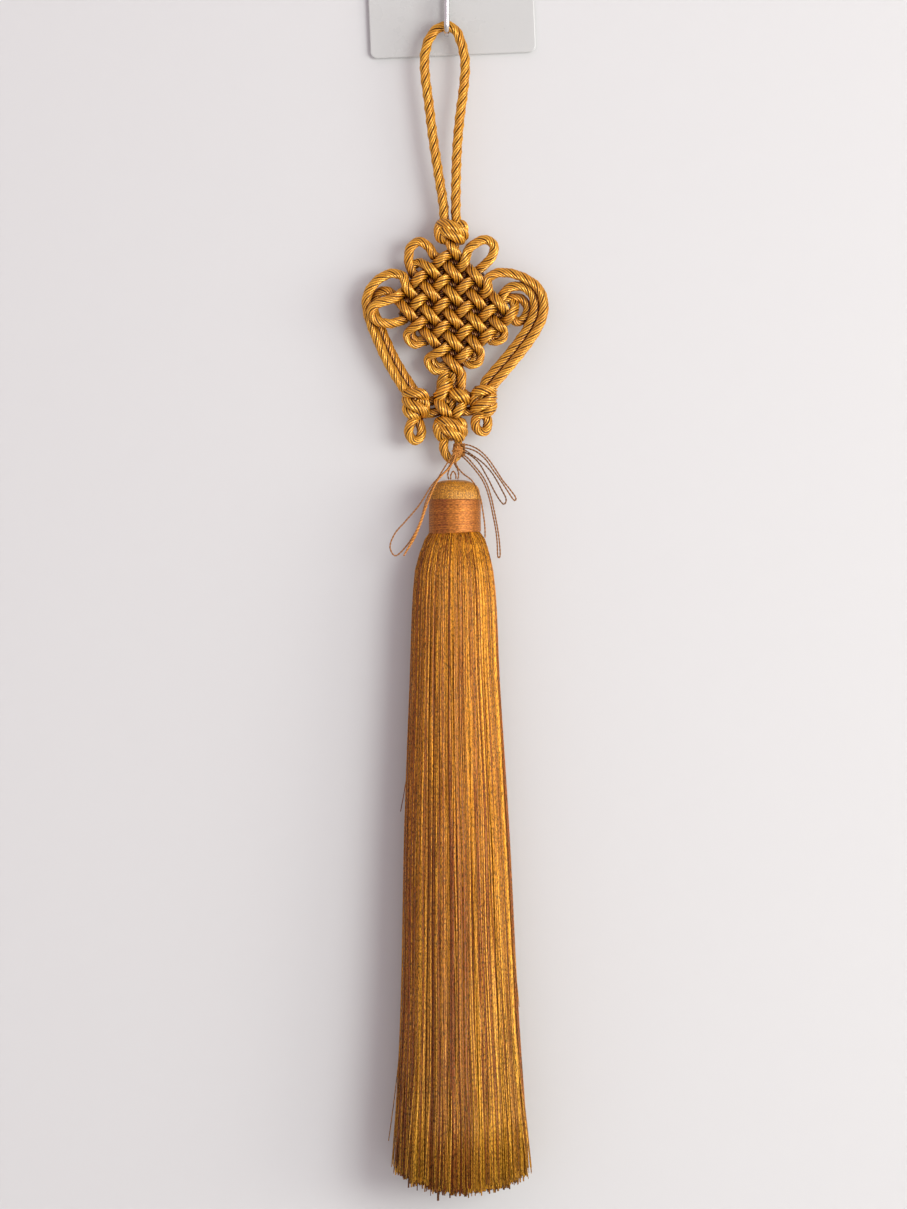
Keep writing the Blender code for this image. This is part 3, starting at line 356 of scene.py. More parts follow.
# Tassel
HEAD_RIGHT, HEAD_PLANE = 1.75, -10.6
CAP_TOP, CAP_BOTTOM, CAP_RADIUS, CAP_SQUARENESS = 183.6, 191.2, 9.1, 2.8
CAP_THREADS, CAP_THREAD_POINTS, CAP_THREAD_GROOVE, CAP_UNEVENNESS = 150, 4, 0.1, 0.05
CAP_START, CAP_RINGS, CAP_LIP_RINGS, CAP_LIP = 0.04, 26, 4, (0.3, 1.2)
CAP_SHADES, CAP_GROOVE_OPENNESS, CAP_GRAIN = (0.2, 0.8), 0.35, 0.09
BAND_TOP, BAND_BOTTOM, BAND_RADIUS, BAND_SLOPE = 190.6, 203.0, 9.35, 0.075
BAND_WINDINGS, WINDING_POINTS, BAND_SIDES, WINDING_GROOVE = 44, 4, 144, 0.035
# How far the band's ends are rounded in, and how fast, as a number of times its height
BAND_ROUNDING, BAND_ROUNDING_RATE = 0.45, 22
BAND_UNEVENNESS, BAND_WAVES, BAND_WAVE_LEAN = 0.02, 5, 9
WINDING_SHADES, WINDING_OPENNESS, WINDING_GRAIN, BAND_GRAIN = (0.25, 0.75), 0.5, 2.0, 0.39
# Painted shade and sheen on the band, from left to right: darkest on its left third. Rows: share across,
# shade
BAND_PAINTED_LIGHT = [
    (-1.0, 0.04), (-0.6, -0.10), (-0.38, -0.24), (-0.20, 0.15), (0.1, 0.12), (0.5, 0.0), (0.8, 0.06),
    (1.0, 0.2),
]
SKIRT_ROOT = 201.6
# How far down the skirt ends in the middle, and how much higher at its left and right
SKIRT_END, SKIRT_END_RISES = 436.6, (7.0, 5.6)
SKIRT_BACK = -1.2
# Outline of the skirt. Rows: down, left edge, right edge, half depth
SKIRT_OUTLINE = [
    (201.6, -6.6, 10.1, 8.4), (203.2, -7.4, 10.9, 9.1), (205.2, -9.0, 12.5, 9.9),
    (209.0, -10.4, 13.6, 10.5), (214.0, -12.0, 14.9, 11.0), (224.0, -13.1, 16.2, 11.6),
    (255.0, -14.4, 17.8, 12.4), (308.0, -16.3, 21.2, 13.8), (371.0, -17.6, 24.4, 15.6),
    (426.0, -19.9, 28.0, 17.2), (443.0, -20.5, 28.4, 17.4),
]
# Low openness paints shade on the threads that lie under others
# Layers of skirt threads. Rows: name, threads, least and greatest share of the outline, radius,
# least and greatest openness, stations, how far the ends stand out
SKIRT_LAYERS = [
    ("skirt_front", 1250, 0.93, 1.0, 0.27, 0.0, 1.0, 16, 0.0),
    ("skirt_back", 1250, 0.93, 1.0, 0.27, 0.0, 1.0, 16, 0.0),
    ("skirt_under", 1400, 0.83, 0.95, 0.27, 0.0, 0.3, 9, 0.0),
    ("skirt_core", 900, 0.05, 0.83, 0.42, 0.0, 0.2, 9, 0.0),
    ("skirt_strays", 110, 0.99, 1.02, 0.15, 0.5, 1.0, 24, 3.2),
]
SKIRT_SECTORS = {"skirt_front": (math.pi, 2 * math.pi), "skirt_back": (0.0, math.pi)}
# Thread ends: mean and spread, the share that hang lower and by how much, and the strays cut short
END_SPREAD, LONG_SHARE, LONG_BY, SHORT_SHARE, SHORT_BY = (-0.6, 1.1), 0.03, (0.5, 3.0), 0.12, 150.0
# Stations lie closer together near the roots
STATION_POWER = 1.35
# Below the neck the threads hang loose, and gather into locks that part less further down
LOOSE_FROM, LOOSE_OVER = 205.0, 50.0
PARTED_FROM, PARTED_OVER, PARTED_LEAST, PARTED_MORE, PARTED_FADE = 204.0, 8.0, 0.14, 0.28, 45.0
DRIFT, WAVE_HEIGHTS, WAVE_LENGTHS, ANY_PHASE = 0.55, (0.04, 0.2), (7.0, 26.0), 6.3
SWAY_ANGLE, SWAY_LENGTH, SWAY_SHIFT = 0.010, 17.0, 115.0
FLARE_FROM, FLARE_OVER, FLARE_POWER = 0.80, 0.20, 1.5
WALL_CLEARANCE = 0.6
THREAD_CORNERS, GIRTH_SPREAD = 3, (0.75, 1.25)
# Grains start anywhere along this
GRAIN_START = 100.0


def full_rows(rows):
    """Give every row its four columns: right, down, behind, girth."""
    blanks = (0.0, 0.0, 0.0, 1.0)
    return np.array([tuple(row) + blanks[len(row):] for row in rows])


def smooth_route(rows, step):
    """Points at even steps along a smooth curve through the rows."""
    rows = full_rows(rows)
    spans = np.sqrt(np.linalg.norm(np.diff(rows[:, :3], axis=0), axis=1))
    stations = np.concatenate([[0.0], np.cumsum(spans)])
    slopes = np.gradient(rows, stations, axis=0)
    share = np.linspace(0.0, 1.0, SUBSTEPS, endpoint=False)[:, None]
    square, cube = share ** 2, share ** 3
    dense = [
        (2 * cube - 3 * square + 1) * rows[index]
        + (cube - 2 * square + share) * span * slopes[index]
        + (3 * square - 2 * cube) * rows[index + 1]
        + (cube - square) * span * slopes[index + 1]
        for index, span in enumerate(spans)
    ]
    dense = np.concatenate(dense + [rows[-1:]])
    travelled = distances(dense[:, :3])
    count = max(2, round(travelled[-1] / step))
    marks = np.linspace(0.0, travelled[-1], count + 1)
    return np.column_stack([np.interp(marks, travelled, column) for column in dense.T])


def distances(points):
    """How far along the route each point lies."""
    steps = np.linalg.norm(np.diff(points, axis=0), axis=1)
    return np.concatenate([[0.0], np.cumsum(steps)])


def in_space(rows):
    """Route rows as points in space, in millimetres."""
    return np.column_stack([rows[:, 0], KNOT_PLANE + rows[:, 2], -rows[:, 1]])


def unit(vectors):
    """The same directions, one long."""
    return vectors / np.linalg.norm(vectors, axis=-1, keepdims=True)


def carried_frames(points):
    """Two side directions at each point, carried along the route without turning about it."""
    tangents = unit(np.gradient(points, axis=0))
    normal = np.cross(tangents[0], START_SIDE)
    normals = []
    for tangent in tangents:
        normal = unit(normal - tangent * (normal @ tangent))
        normals.append(normal)
    normals = np.array(normals)
    return normals, np.cross(tangents, normals)


def twisted_section(strands, yarns, yarn_points, strand_radius, offset, groove):
    """Angle, radius, openness and strand number round a cord of round strands."""
    count = strands * yarns * yarn_points
    angles = np.arange(count) * 2 * math.pi / count
    half = math.pi / strands
    across = (angles % (2 * half)) / half - 1
    lean = across * half
    strand = offset * np.cos(lean) + np.sqrt(strand_radius ** 2 - (offset * np.sin(lean)) ** 2)
    crest = np.abs(np.sin((across + 1) / 2 * yarns * math.pi))
    radii = strand - groove * (1 - crest)
    # Openness, 0 in the grooves, becomes painted shade in the materials
    openness = (radii - radii.min()) / (radii.max() - radii.min())
    return angles, radii, openness, np.floor(angles / (2 * half) + 1e-6)


def tube_faces(rings, sides, tubes=1):
    """Quads of tubes whose points come ring by ring, and then their end faces."""
    index = np.arange(tubes * rings * sides).reshape(tubes, rings, sides)
    ahead = np.roll(index, -1, axis=2)
    quads = np.stack([index[:, :-1], ahead[:, :-1], ahead[:, 1:], index[:, 1:]], axis=-1).reshape(-1, 4)
    return quads.tolist() + index[:, -1].tolist() + index[:, 0, ::-1].tolist()


def stacked(shape, *columns):
    """Three columns, each spread over the shape, as rows of points."""
    return np.stack([np.broadcast_to(column, shape) for column in columns], -1).reshape(-1, 3)


def twisted_tube(rows, section, lay, step, chance, shade=None):
    """A length of twisted cord along a route, with a right-hand twist."""
    angles, radii, openness, strands = section
    route = smooth_route(rows, step)
    points = in_space(route)
    travelled = distances(points)
    normals, sides = carried_frames(points)
    turned = angles + (2 * math.pi * travelled / lay + chance.uniform(0, 2 * math.pi))[:, None]
    reach = (radii * route[:, 3:4])[..., None]
    ring = points[:, None] + reach * (
        np.cos(turned)[..., None] * normals[:, None] + np.sin(turned)[..., None] * sides[:, None])
    shades = chance.uniform(*STRAND_SHADES, int(strands.max()) + 1)[strands.astype(int)]
    if shade is not None:
        shades = shades - 0.5 + shade
    shape = turned.shape
    tone = stacked(shape, openness, shades, 0.0)
    grain = stacked(shape, angles * radii.max(), travelled[:, None], chance.uniform(0, GRAIN_START))
    return ring.reshape(-1, 3), tube_faces(*shape), tone, grain


def add_object(name, data):
    """A new object that shows this data, in the scene."""
    item = bpy.data.objects.new(name, data)
    bpy.context.scene.collection.objects.link(item)
    return item


def make_piece(name, parts, material, slot, *nodes):
    """One object from parts of points, faces, tone and grain, riding on the body."""
    points = np.concatenate([part[0] for part in parts]) * MM
    faces, start = [], 0
    for part in parts:
        faces += [[start + corner for corner in face] for face in part[1]]
        start += len(part[0])
    mesh = bpy.data.meshes.new(name)
    mesh.from_pydata(points.tolist(), [], faces)
    tone = mesh.color_attributes.new(name="tone", type="FLOAT_COLOR", domain="POINT")
    shades = np.concatenate([part[2] for part in parts])
    tone.data.foreach_set("color", np.column_stack([shades, np.ones(len(shades))]).astype(np.float32).ravel())
    grain = mesh.attributes.new(name="grain", type="FLOAT_VECTOR", domain="POINT")
    grain.data.foreach_set("vector", np.concatenate([part[3] for part in parts]).astype(np.float32).ravel())
    mesh.shade_smooth()
    mesh.materials.append(material)
    piece = add_object(name, mesh)
    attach(piece, "root")
    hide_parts(*nodes)
    return piece


def crossing(column, row, behind=0.0, girth=1.0):
    """Where two cords of the diamond cross: column counts down to the right, row down to the left."""
    across = column - (DIAMOND_CORDS - 1) / 2
    along = row - (DIAMOND_CORDS - 1) / 2
    right = DIAMOND_RIGHT + (across - along) * PITCH_RIGHT
    down = DIAMOND_DOWN + across * PITCH_DOWN_RIGHTWARD + along * PITCH_DOWN_LEFTWARD
    return (right, down, behind, girth)


def rightward_cord(row):
    """Crossings of a cord that runs down to the right, over where column and row add up even."""
    return [crossing(column, row, -WEAVE_DEPTH if (column + row) % 2 == 0 else WEAVE_DEPTH, WEAVE_GIRTH)
            for column in range(DIAMOND_CORDS)]


def leftward_cord(column):
    """Crossings of a cord that runs down to the left, over where the other one is under."""
    return [crossing(column, row, WEAVE_DEPTH if (column + row) % 2 == 0 else -WEAVE_DEPTH, WEAVE_GIRTH)
            for row in range(DIAMOND_CORDS)]


def diamond_routes():
    """Routes of the diamond's cords, rightward and leftward, with the loops at their ends."""
    last = DIAMOND_CORDS - 1 + STUB
    rightward_starts = [
        [LEFT_ENTRY], LEFT_EAR, LEFT_EAR_FOOT, [crossing(-STUB, 3, 0.8)],
        LEFT_WING_OUTER, LEFT_WING_INNER,
    ]
    rightward_ends = [
        RIGHT_CORNER_EAR, RIGHT_UPPER_BIGHT, [crossing(last, 2)], RIGHT_LOWER_BIGHT,
        [crossing(last, 4)], RIGHT_COLUMN,
    ]
    leftward_starts = [
        [RIGHT_ENTRY], RIGHT_EAR, [crossing(2, -STUB, 0.8)], RIGHT_WING_OUTER,
        RIGHT_WING_INNER, RIGHT_CORNER_FOOT,
    ]
    leftward_ends = [
        LEFT_CORNER_EAR, [crossing(1, last, 0.4)], LEFT_UPPER_BIGHT, [crossing(3, last)],
        LEFT_LOWER_BIGHT, LEFT_COLUMN,
    ]
    rightward = [start + rightward_cord(index) + end
                 for index, (start, end) in enumerate(zip(rightward_starts, rightward_ends))]
    leftward = [start + leftward_cord(index) + end
                for index, (start, end) in enumerate(zip(leftward_starts, leftward_ends))]
    return rightward, leftward


def knot_routes(turns, right, down, facing, height):
    """The turns of one knot, set about its middle."""
    return [[(right + facing * across, down + height * below, behind, girth)
             for across, below, behind, girth in rows] for rows in turns]


def back_layer():
    """The diamond's back, a second weave that lies between the front's cords and shows in its gaps."""
    routes = []
    for number in range(DIAMOND_CORDS - 1):
        for heading in (0, 1):
            rows = []
            for step in range(DIAMOND_CORDS + 1):
                along = min(max(step - 0.5, 0.0), DIAMOND_CORDS - 0.8)
                place = (along, number + 0.5) if heading == 0 else (number + 0.5, along)
                over = (step + number + heading) % 2 == 0
                rows.append(crossing(*place, BACK_LAYER + (BACK_DEPTH if over else -BACK_DEPTH), BACK_GIRTH))
            routes.append(rows)
    return routes


def tell_cover(parts, sides):
    """Write into each cord's tone how much other cord lies close in front of every point, which the cord's
    material paints as shade.
    """
    middles = [part[0].reshape(-1, sides, 3).mean(axis=1) for part in parts]
    others = np.concatenate([middle[::COVER_STRIDE] for middle in middles])
    for part, middle in zip(parts, middles):
        rings, tone = part[0].reshape(-1, sides, 3), part[2].reshape(-1, sides, 3)
        for start in range(0, len(middle), COVER_RINGS):
            here = slice(start, start + COVER_RINGS)
            span = COVER_REACH + 2 * STRAND_RADIUS + COVER_RINGS * CORD_STEP
            near = others[np.linalg.norm(others - middle[here].mean(axis=0), axis=1) < span]
            outward = unit(rings[here] - middle[here][:, None])
            gaps = near - rings[here][:, :, None]
            length = np.linalg.norm(gaps, axis=-1)
            facing = np.clip((gaps * outward[:, :, None]).sum(axis=-1) / length, 0.0, 1.0)
            felt = np.clip((COVER_REACH - length) / COVER_FADE, 0.0, 1.0)
            tone[here][:, :, 2] = np.clip((facing * felt).sum(axis=-1) * COVER_STRENGTH, 0.0, 1.0)


def build_cord(material, chance):
    """The knotted cord: the hanging loop, the diamond's two layers, the knots and the foot."""
    cord = (CORD_STRANDS, STRAND_YARNS, YARN_POINTS)
    section = twisted_section(*cord, STRAND_RADIUS, STRAND_OFFSET, YARN_GROOVE)
    loop_section = twisted_section(*cord, *LOOP_SECTION)
    rightward, leftward = diamond_routes()
    routes = {
        "cord_hanging_loop": [HANGING_LOOP],
        "cord_diamond_rightward": rightward,
        "cord_diamond_leftward": leftward,
        "cord_diamond_back": back_layer(),
        "cord_knots": [rows for knot in KNOTS for rows in knot_routes(*knot)],
        "cord_foot": COLUMN_PADS + LINKS + INNER_BIGHTS + [LEFT_END_LOOP, RIGHT_END_LOOP, BOTTOM_RING],
    }
    groups = {}
    for name, group in routes.items():
        own = loop_section if name == "cord_hanging_loop" else section
        groups[name] = [twisted_tube(rows, own, CORD_LAY, CORD_STEP, chance) for rows in group]
    tell_cover([part for parts in groups.values() for part in parts], len(section[0]))
    for name, parts in groups.items():
        make_piece(name, parts, material, "cord", "knotted_cord")


def build_threads(material, chance):
    """The loose loops and ends, the carriers down to the cap, and the knot that binds them."""
    section = twisted_section(*THREAD_SECTION)

    def thread(rows, shade):
        return twisted_tube(rows, section, THREAD_LAY, THREAD_STEP, chance, shade)

    parts = [thread(rows, THREAD_SHADES[name]) for name, rows in THREADS.items()]
    for number in range(BINDING_TURNS):
        tilt = chance.uniform(-BINDING_TILT, BINDING_TILT)
        below = (number / (BINDING_TURNS - 1) - 0.5) * BINDING_HEIGHT
        angles = np.linspace(0.0, BINDING_SWEEP, BINDING_POINTS)
        parts.append(thread(np.column_stack([
            BINDING_RIGHT + BINDING_RADIUS * np.cos(angles),
            BINDING_DOWN + below + tilt * np.sin(angles) + BINDING_CLIMB * angles / math.pi,
            BINDING_BEHIND + BINDING_RADIUS * BINDING_DEPTH * np.sin(angles),
            np.full(BINDING_POINTS, BINDING_GIRTH),
        ]), BINDING_SHADE))
    for number in range(BEAD_TURNS):
        turn = math.pi * number / BEAD_TURNS
        angles = np.linspace(0.0, 2 * math.pi, BEAD_POINTS)
        width, height = BEAD_HALF_WIDTH * np.cos(angles), BEAD_HALF_HEIGHT * np.sin(angles)
        parts.append(thread(np.column_stack([
            BEAD_RIGHT + width * math.cos(turn) - height * math.sin(turn),
            BEAD_DOWN + width * math.sin(turn) + height * math.cos(turn),
            BEAD_BEHIND + BEAD_HALF_DEPTH * np.cos(2 * angles + number),
            np.full(BEAD_POINTS, BEAD_GIRTH),
        ]), BEAD_SHADE))
    make_piece("tie_thread_loops", parts, material, "thread", "tie_threads")


def ring_angles(sides):
    """Angles round a turned surface, the front half below nought."""
    return -np.arange(sides) * 2 * math.pi / sides


def front_painted_light(angles, rows):
    """Painted shade and sheen at each angle, from rows of share across and shade on the front, and none
    behind.
    """
    return np.where(np.sin(angles) <= 0, np.interp(np.cos(angles), *np.transpose(rows)), 0.0)


def turned_part(radii, downs, tone, grain, slope=0.0):
    """A surface turned about the head's axis; radii, downs and tone are given ring by ring."""
    rings, sides = radii.shape
    angles = ring_angles(sides)
    right = HEAD_RIGHT + radii * np.cos(angles)
    points = np.stack([
        right,
        HEAD_PLANE + radii * np.sin(angles),
        -(downs - slope * (right - HEAD_RIGHT)),
    ], -1)
    return points.reshape(-1, 3), tube_faces(rings, sides), tone, grain


def build_cap(material, chance):
    """The dome: threads that fan out from its top and run down under the band."""
    sides = CAP_THREADS * CAP_THREAD_POINTS
    dome = np.linspace(CAP_START, math.pi / 2, CAP_RINGS)
    arc = np.concatenate([dome, [math.pi / 2] * CAP_LIP_RINGS])[:, None]
    below = np.concatenate([np.zeros(CAP_RINGS), np.linspace(*CAP_LIP, CAP_LIP_RINGS)])[:, None]
    share = np.sin(arc) ** (2 / CAP_SQUARENESS)
    drop = 1 - np.abs(np.cos(arc)) ** (2 / CAP_SQUARENESS)
    crest = np.abs(np.sin(np.arange(sides) / CAP_THREAD_POINTS * math.pi))
    lift = np.repeat(chance.uniform(-CAP_UNEVENNESS, CAP_UNEVENNESS, CAP_THREADS), CAP_THREAD_POINTS)
    radii = share * (CAP_RADIUS + lift + CAP_THREAD_GROOVE * (crest - 1))
    downs = np.broadcast_to(CAP_TOP + (CAP_BOTTOM - CAP_LIP[1] - CAP_TOP) * drop + below, radii.shape)
    shades = np.repeat(chance.uniform(*CAP_SHADES, CAP_THREADS), CAP_THREAD_POINTS)
    # Openness becomes painted shade in the grooves between the cap's threads
    openness = CAP_GROOVE_OPENNESS + (1 - CAP_GROOVE_OPENNESS) * crest
    tone = stacked(radii.shape, openness, shades, 0.0)
    grain = stacked(radii.shape, np.arange(sides) * CAP_GRAIN, downs, 0.0)
    make_piece("tassel_cap", [turned_part(radii, downs, tone, grain)], material, "tassel_silk", "tassel")


def build_band(material, chance):
    """Thread wound round the neck, turn on turn."""
    along = np.linspace(0.0, 1.0, BAND_WINDINGS * WINDING_POINTS + 1)[:, None]
    crest = np.abs(np.sin(along * BAND_WINDINGS * math.pi))
    edge = np.minimum(np.minimum(along, 1 - along) * BAND_ROUNDING_RATE, 1.0)
    turn = np.arange(BAND_SIDES) / BAND_SIDES * 2 * math.pi
    wave = BAND_UNEVENNESS * np.sin(turn * BAND_WAVES + BAND_WAVE_LEAN * along)
    rounding = BAND_ROUNDING * (1 - np.sqrt(1 - (1 - edge) ** 2))
    radii = BAND_RADIUS - rounding - WINDING_GROOVE * (1 - crest) + wave
    downs = BAND_TOP + (BAND_BOTTOM - BAND_TOP) * along + np.zeros((1, BAND_SIDES))
    shades = np.repeat(chance.uniform(*WINDING_SHADES, BAND_WINDINGS + 1), WINDING_POINTS)[:len(along), None]
    # Painted shade and sheen across the band's front
    shades = np.clip(shades + front_painted_light(ring_angles(BAND_SIDES), BAND_PAINTED_LIGHT), 0.0, 1.0)
    # Openness becomes painted shade between the windings
    tone = stacked(radii.shape, WINDING_OPENNESS + (1 - WINDING_OPENNESS) * crest, shades, 0.0)
    grain = stacked(radii.shape, downs * WINDING_GRAIN, np.arange(BAND_SIDES) * BAND_GRAIN, 0.0)
    part = turned_part(radii, downs, tone, grain, BAND_SLOPE * along)
    make_piece("neck_band", [part], material, "binding", "neck_binding")


def outline_at(down):
    """Middle, half width and half depth of the skirt at each height."""
    table = smooth_route(SKIRT_OUTLINE, OUTLINE_STEP)
    left, right, depth = (np.interp(down, table[:, 0], table[:, column]) for column in (1, 2, 3))
    return (left + right) / 2, (right - left) / 2, depth


def ramp(values, start, length):
    """From 0 at the start to 1 after the length, which is below nought for a ramp that runs upward."""
    return np.clip((values - start) / length, 0.0, 1.0)


def thread_ends(across, strays, chance):
    """How far down each thread ends: lowest in the middle, some lower still, some strays cut short."""
    number = len(across)
    rise = np.where(across < 0, *SKIRT_END_RISES)
    ends = SKIRT_END - rise * across ** 2 + chance.normal(*END_SPREAD, number)
    ends += np.where(chance.uniform(size=number) < LONG_SHARE, chance.uniform(*LONG_BY, number), 0.0)
    if strays:
        short = chance.uniform(size=number) < SHORT_SHARE
        ends -= np.where(short, chance.uniform(0.0, SHORT_BY, number), 0.0)
    return ends


def hang_threads(angles, shares, lock, along, downs, flare, chance):
    """Each thread's way down: how far right of the origin and how far from the wall's face."""

    def each(least, greatest):
        return chance.uniform(least, greatest, len(angles))[:, None]

    middle, half_width, half_depth = outline_at(downs)
    centre = np.minimum(HEAD_PLANE, SKIRT_BACK - half_depth)
    loose = ramp(downs, LOOSE_FROM, LOOSE_OVER)
    parted = PARTED_LEAST + PARTED_MORE * np.exp(-(downs - PARTED_FROM) / PARTED_FADE)
    parted *= ramp(downs, PARTED_FROM, PARTED_OVER)
    drift = chance.normal(0.0, DRIFT, len(angles))[:, None] * along
    wave = each(*WAVE_HEIGHTS) * np.sin(downs / each(*WAVE_LENGTHS) + each(0, ANY_PHASE))
    sway = SWAY_ANGLE * np.sin(downs / SWAY_LENGTH + SWAY_SHIFT * LOCK_SHADES[lock][:, None])
    gathered = angles[:, None] + (LOCK_MIDDLES[lock] - angles)[:, None] * parted + sway * loose
    reach = shares[:, None] + LOCK_LIFTS[lock][:, None] * loose
    around = (drift + wave) * loose
    out = flare * each(0.0, 1.0) ** FLARE_POWER * ramp(along, FLARE_FROM, FLARE_OVER) ** FLARE_POWER
    right = middle + (half_width * reach + out) * np.cos(gathered) - around * np.sin(gathered)
    front = centre + (half_depth * reach + out) * np.sin(gathered) + around * np.cos(gathered)
    return right, np.minimum(front, -WALL_CLEARANCE)


def thread_shades(angles, lock, downs, chance):
    """Each thread's own shade over those of its lock and fold, with painted shade and sheen on the lower
    front and painted light at the roots and ends.
    """
    number = len(angles)
    fold = (angles / (2 * math.pi) * SKIRT_FOLDS).astype(int) % SKIRT_FOLDS
    own = np.where(chance.uniform(size=number) < DARK_SHARE, chance.uniform(*DARK_SHADES, number),
                   chance.uniform(*LIGHT_SHADES, number))
    shades = (0.5 + LOCK_SHADES[lock] + FOLD_SHADES[fold] + own)[:, None]
    shades = shades + front_painted_light(angles, LOWER_FRONT_PAINTED_LIGHT)[:, None] * ramp(downs, BANDS_FROM, BANDS_OVER)
    shades += ROOT_PAINTED_LIGHT * ramp(downs, ROOT_FROM, ROOT_OVER) + END_PAINTED_LIGHT * ramp(downs, END_FROM, END_OVER)
    return np.clip(shades, 0.0, 1.0)


def skirt_part(layer, chance):
    """A layer of loose threads, three-sided, that hang from the neck in locks."""
    name, number, least, greatest, radius, dim, open_most, stations, flare = layer
    start, end = SKIRT_SECTORS.get(name, (0.0, 2 * math.pi))
    angles = start + (end - start) * (np.arange(number) + chance.uniform(-0.5, 0.5, number)) / number
    angles %= 2 * math.pi
    depth = chance.uniform(0.0, 1.0, number)
    shares = least + (greatest - least) * depth
    lock = np.minimum(np.searchsorted(LOCK_EDGES, angles), SKIRT_LOCKS - 1)
    ends = thread_ends(shares * np.cos(angles), flare > 0, chance)
    along = np.linspace(0.0, 1.0, stations) ** STATION_POWER
    downs = SKIRT_ROOT + along * (ends[:, None] - SKIRT_ROOT)
    right, front = hang_threads(angles, shares, lock, along, downs, flare, chance)
    corner = ring_angles(THREAD_CORNERS) + chance.uniform(0, ANY_PHASE, number)[:, None, None]
    girth = radius * chance.uniform(*GIRTH_SPREAD, number)[:, None, None]
    shape = (number, stations, THREAD_CORNERS)
    points = stacked(shape, right[..., None] + girth * np.cos(corner),
                     front[..., None] + girth * np.sin(corner), -downs[..., None])
    shades = thread_shades(angles, lock, downs, chance)[..., None]
    lowness = ((downs - SKIRT_ROOT) / (SKIRT_END - SKIRT_ROOT))[..., None]
    # Deeper threads get painted shade through a lower openness
    tone = stacked(shape, (dim + (open_most - dim) * depth)[:, None, None], shades, lowness)
    grain = stacked(shape, np.arange(THREAD_CORNERS) * radius * 2, downs[..., None],
                    chance.uniform(0, GRAIN_START, number)[:, None, None])
    return points, tube_faces(stations, THREAD_CORNERS, number), tone, grain


def build_skirt(material, chance):
    """The tassel's skirt, layer by layer."""
    for layer in SKIRT_LAYERS:
        make_piece(layer[0], [skirt_part(layer, chance)], material, "tassel_silk", "tassel")


def grain_noise(nodes, links, scale, stretch):
    """Noise drawn out along the thread."""
    grain = nodes.new("ShaderNodeAttribute")
    grain.attribute_name = "grain"
    mapping = nodes.new("ShaderNodeMapping")
    mapping.inputs["Scale"].default_value = (scale, scale / stretch, 1.0)
    noise = nodes.new("ShaderNodeTexNoise")
    noise.inputs["Scale"].default_value = 1.0
    noise.inputs["Detail"].default_value = 3.0
    links.new(grain.outputs["Vector"], mapping.inputs["Vector"])
    links.new(mapping.outputs["Vector"], noise.inputs["Vector"])
    return noise.outputs["Fac"]


def mixed(nodes, links, blend, share, first, second):
    """A colour mix; each input is a colour, a number or another node's output."""
    mix = nodes.new("ShaderNodeMix")
    mix.data_type = "RGBA"
    mix.blend_type = blend
    for socket, value in (("Factor", share), ("A", first), ("B", second)):
        found = [item for item in mix.inputs if item.name == socket and item.enabled]
        target = found[-1]
        if isinstance(value, bpy.types.NodeSocket):
            links.new(value, target)
        elif isinstance(value, tuple):
            target.default_value = (*value, 1.0)
        else:
            target.default_value = value
    return next(item for item in mix.outputs if item.name == "Result" and item.enabled)


def ramped(nodes, links, value, start, end=(0.0, 1.0)):
    """A value spread from one range to another, and held inside it."""
    spread = nodes.new("ShaderNodeMapRange")
    spread.inputs["From Min"].default_value, spread.inputs["From Max"].default_value = start
    spread.inputs["To Min"].default_value, spread.inputs["To Max"].default_value = end
    links.new(value, spread.inputs["Value"])
    return spread.outputs["Result"]


def new_material(name):
    """A material with its nodes, links and shader."""
    material = bpy.data.materials.new(name)
    material.use_nodes = True
    tree = material.node_tree
    return material, tree.nodes, tree.links, tree.nodes["Principled BSDF"]


def thread_material(name, look):
    """Lustrous thread: painted shade in its grooves and, on the cord, where other cord covers it; uneven from
    thread to thread, with fine fibres.
    """
    material, nodes, links, shader = new_material(name)
    tone = nodes.new("ShaderNodeAttribute")
    tone.attribute_name = "tone"
    split = nodes.new("ShaderNodeSeparateColor")
    links.new(tone.outputs["Color"], split.inputs["Color"])
    own = mixed(nodes, links, "MIX", split.outputs["Green"], look["deep"], look["bright"])
    # On the cord, tip paints shade where other cord covers it; on the skirt it shifts the colour towards the
    # ends
    if "tip" in look:
        low = ramped(nodes, links, split.outputs["Blue"], look["tip_from"])
        own = mixed(nodes, links, "MULTIPLY", low, own, look["tip"])
    # Painted shade in the grooves and on threads that lie under others
    crest = ramped(nodes, links, split.outputs["Red"], look["crest_from"])
    groove = mixed(nodes, links, "MIX", crest, look["groove"], (1.0, 1.0, 1.0))
    own = mixed(nodes, links, "MULTIPLY", 1.0, own, groove)
    fibre = grain_noise(nodes, links, look["fibres"], look["stretch"])
    fibre_shade = ramped(nodes, links, fibre, look["fibre_from"], (look["fibre_shade"], 1.0))
    own = mixed(nodes, links, "MULTIPLY", 1.0, own, fibre_shade)
    links.new(own, shader.inputs["Base Color"])
    bump = nodes.new("ShaderNodeBump")
    bump.inputs["Strength"].default_value = look["bump"]
    bump.inputs["Distance"].default_value = FIBRE_HEIGHT
    links.new(fibre, bump.inputs["Height"])
    links.new(bump.outputs["Normal"], shader.inputs["Normal"])
    shader.inputs["Roughness"].default_value = look["roughness"]
    shader.inputs["Metallic"].default_value = look["metallic"]
    shader.inputs["Specular IOR Level"].default_value = look["specular"]
    shader.inputs["Specular Tint"].default_value = (*look["gloss"], 1.0)
    return material


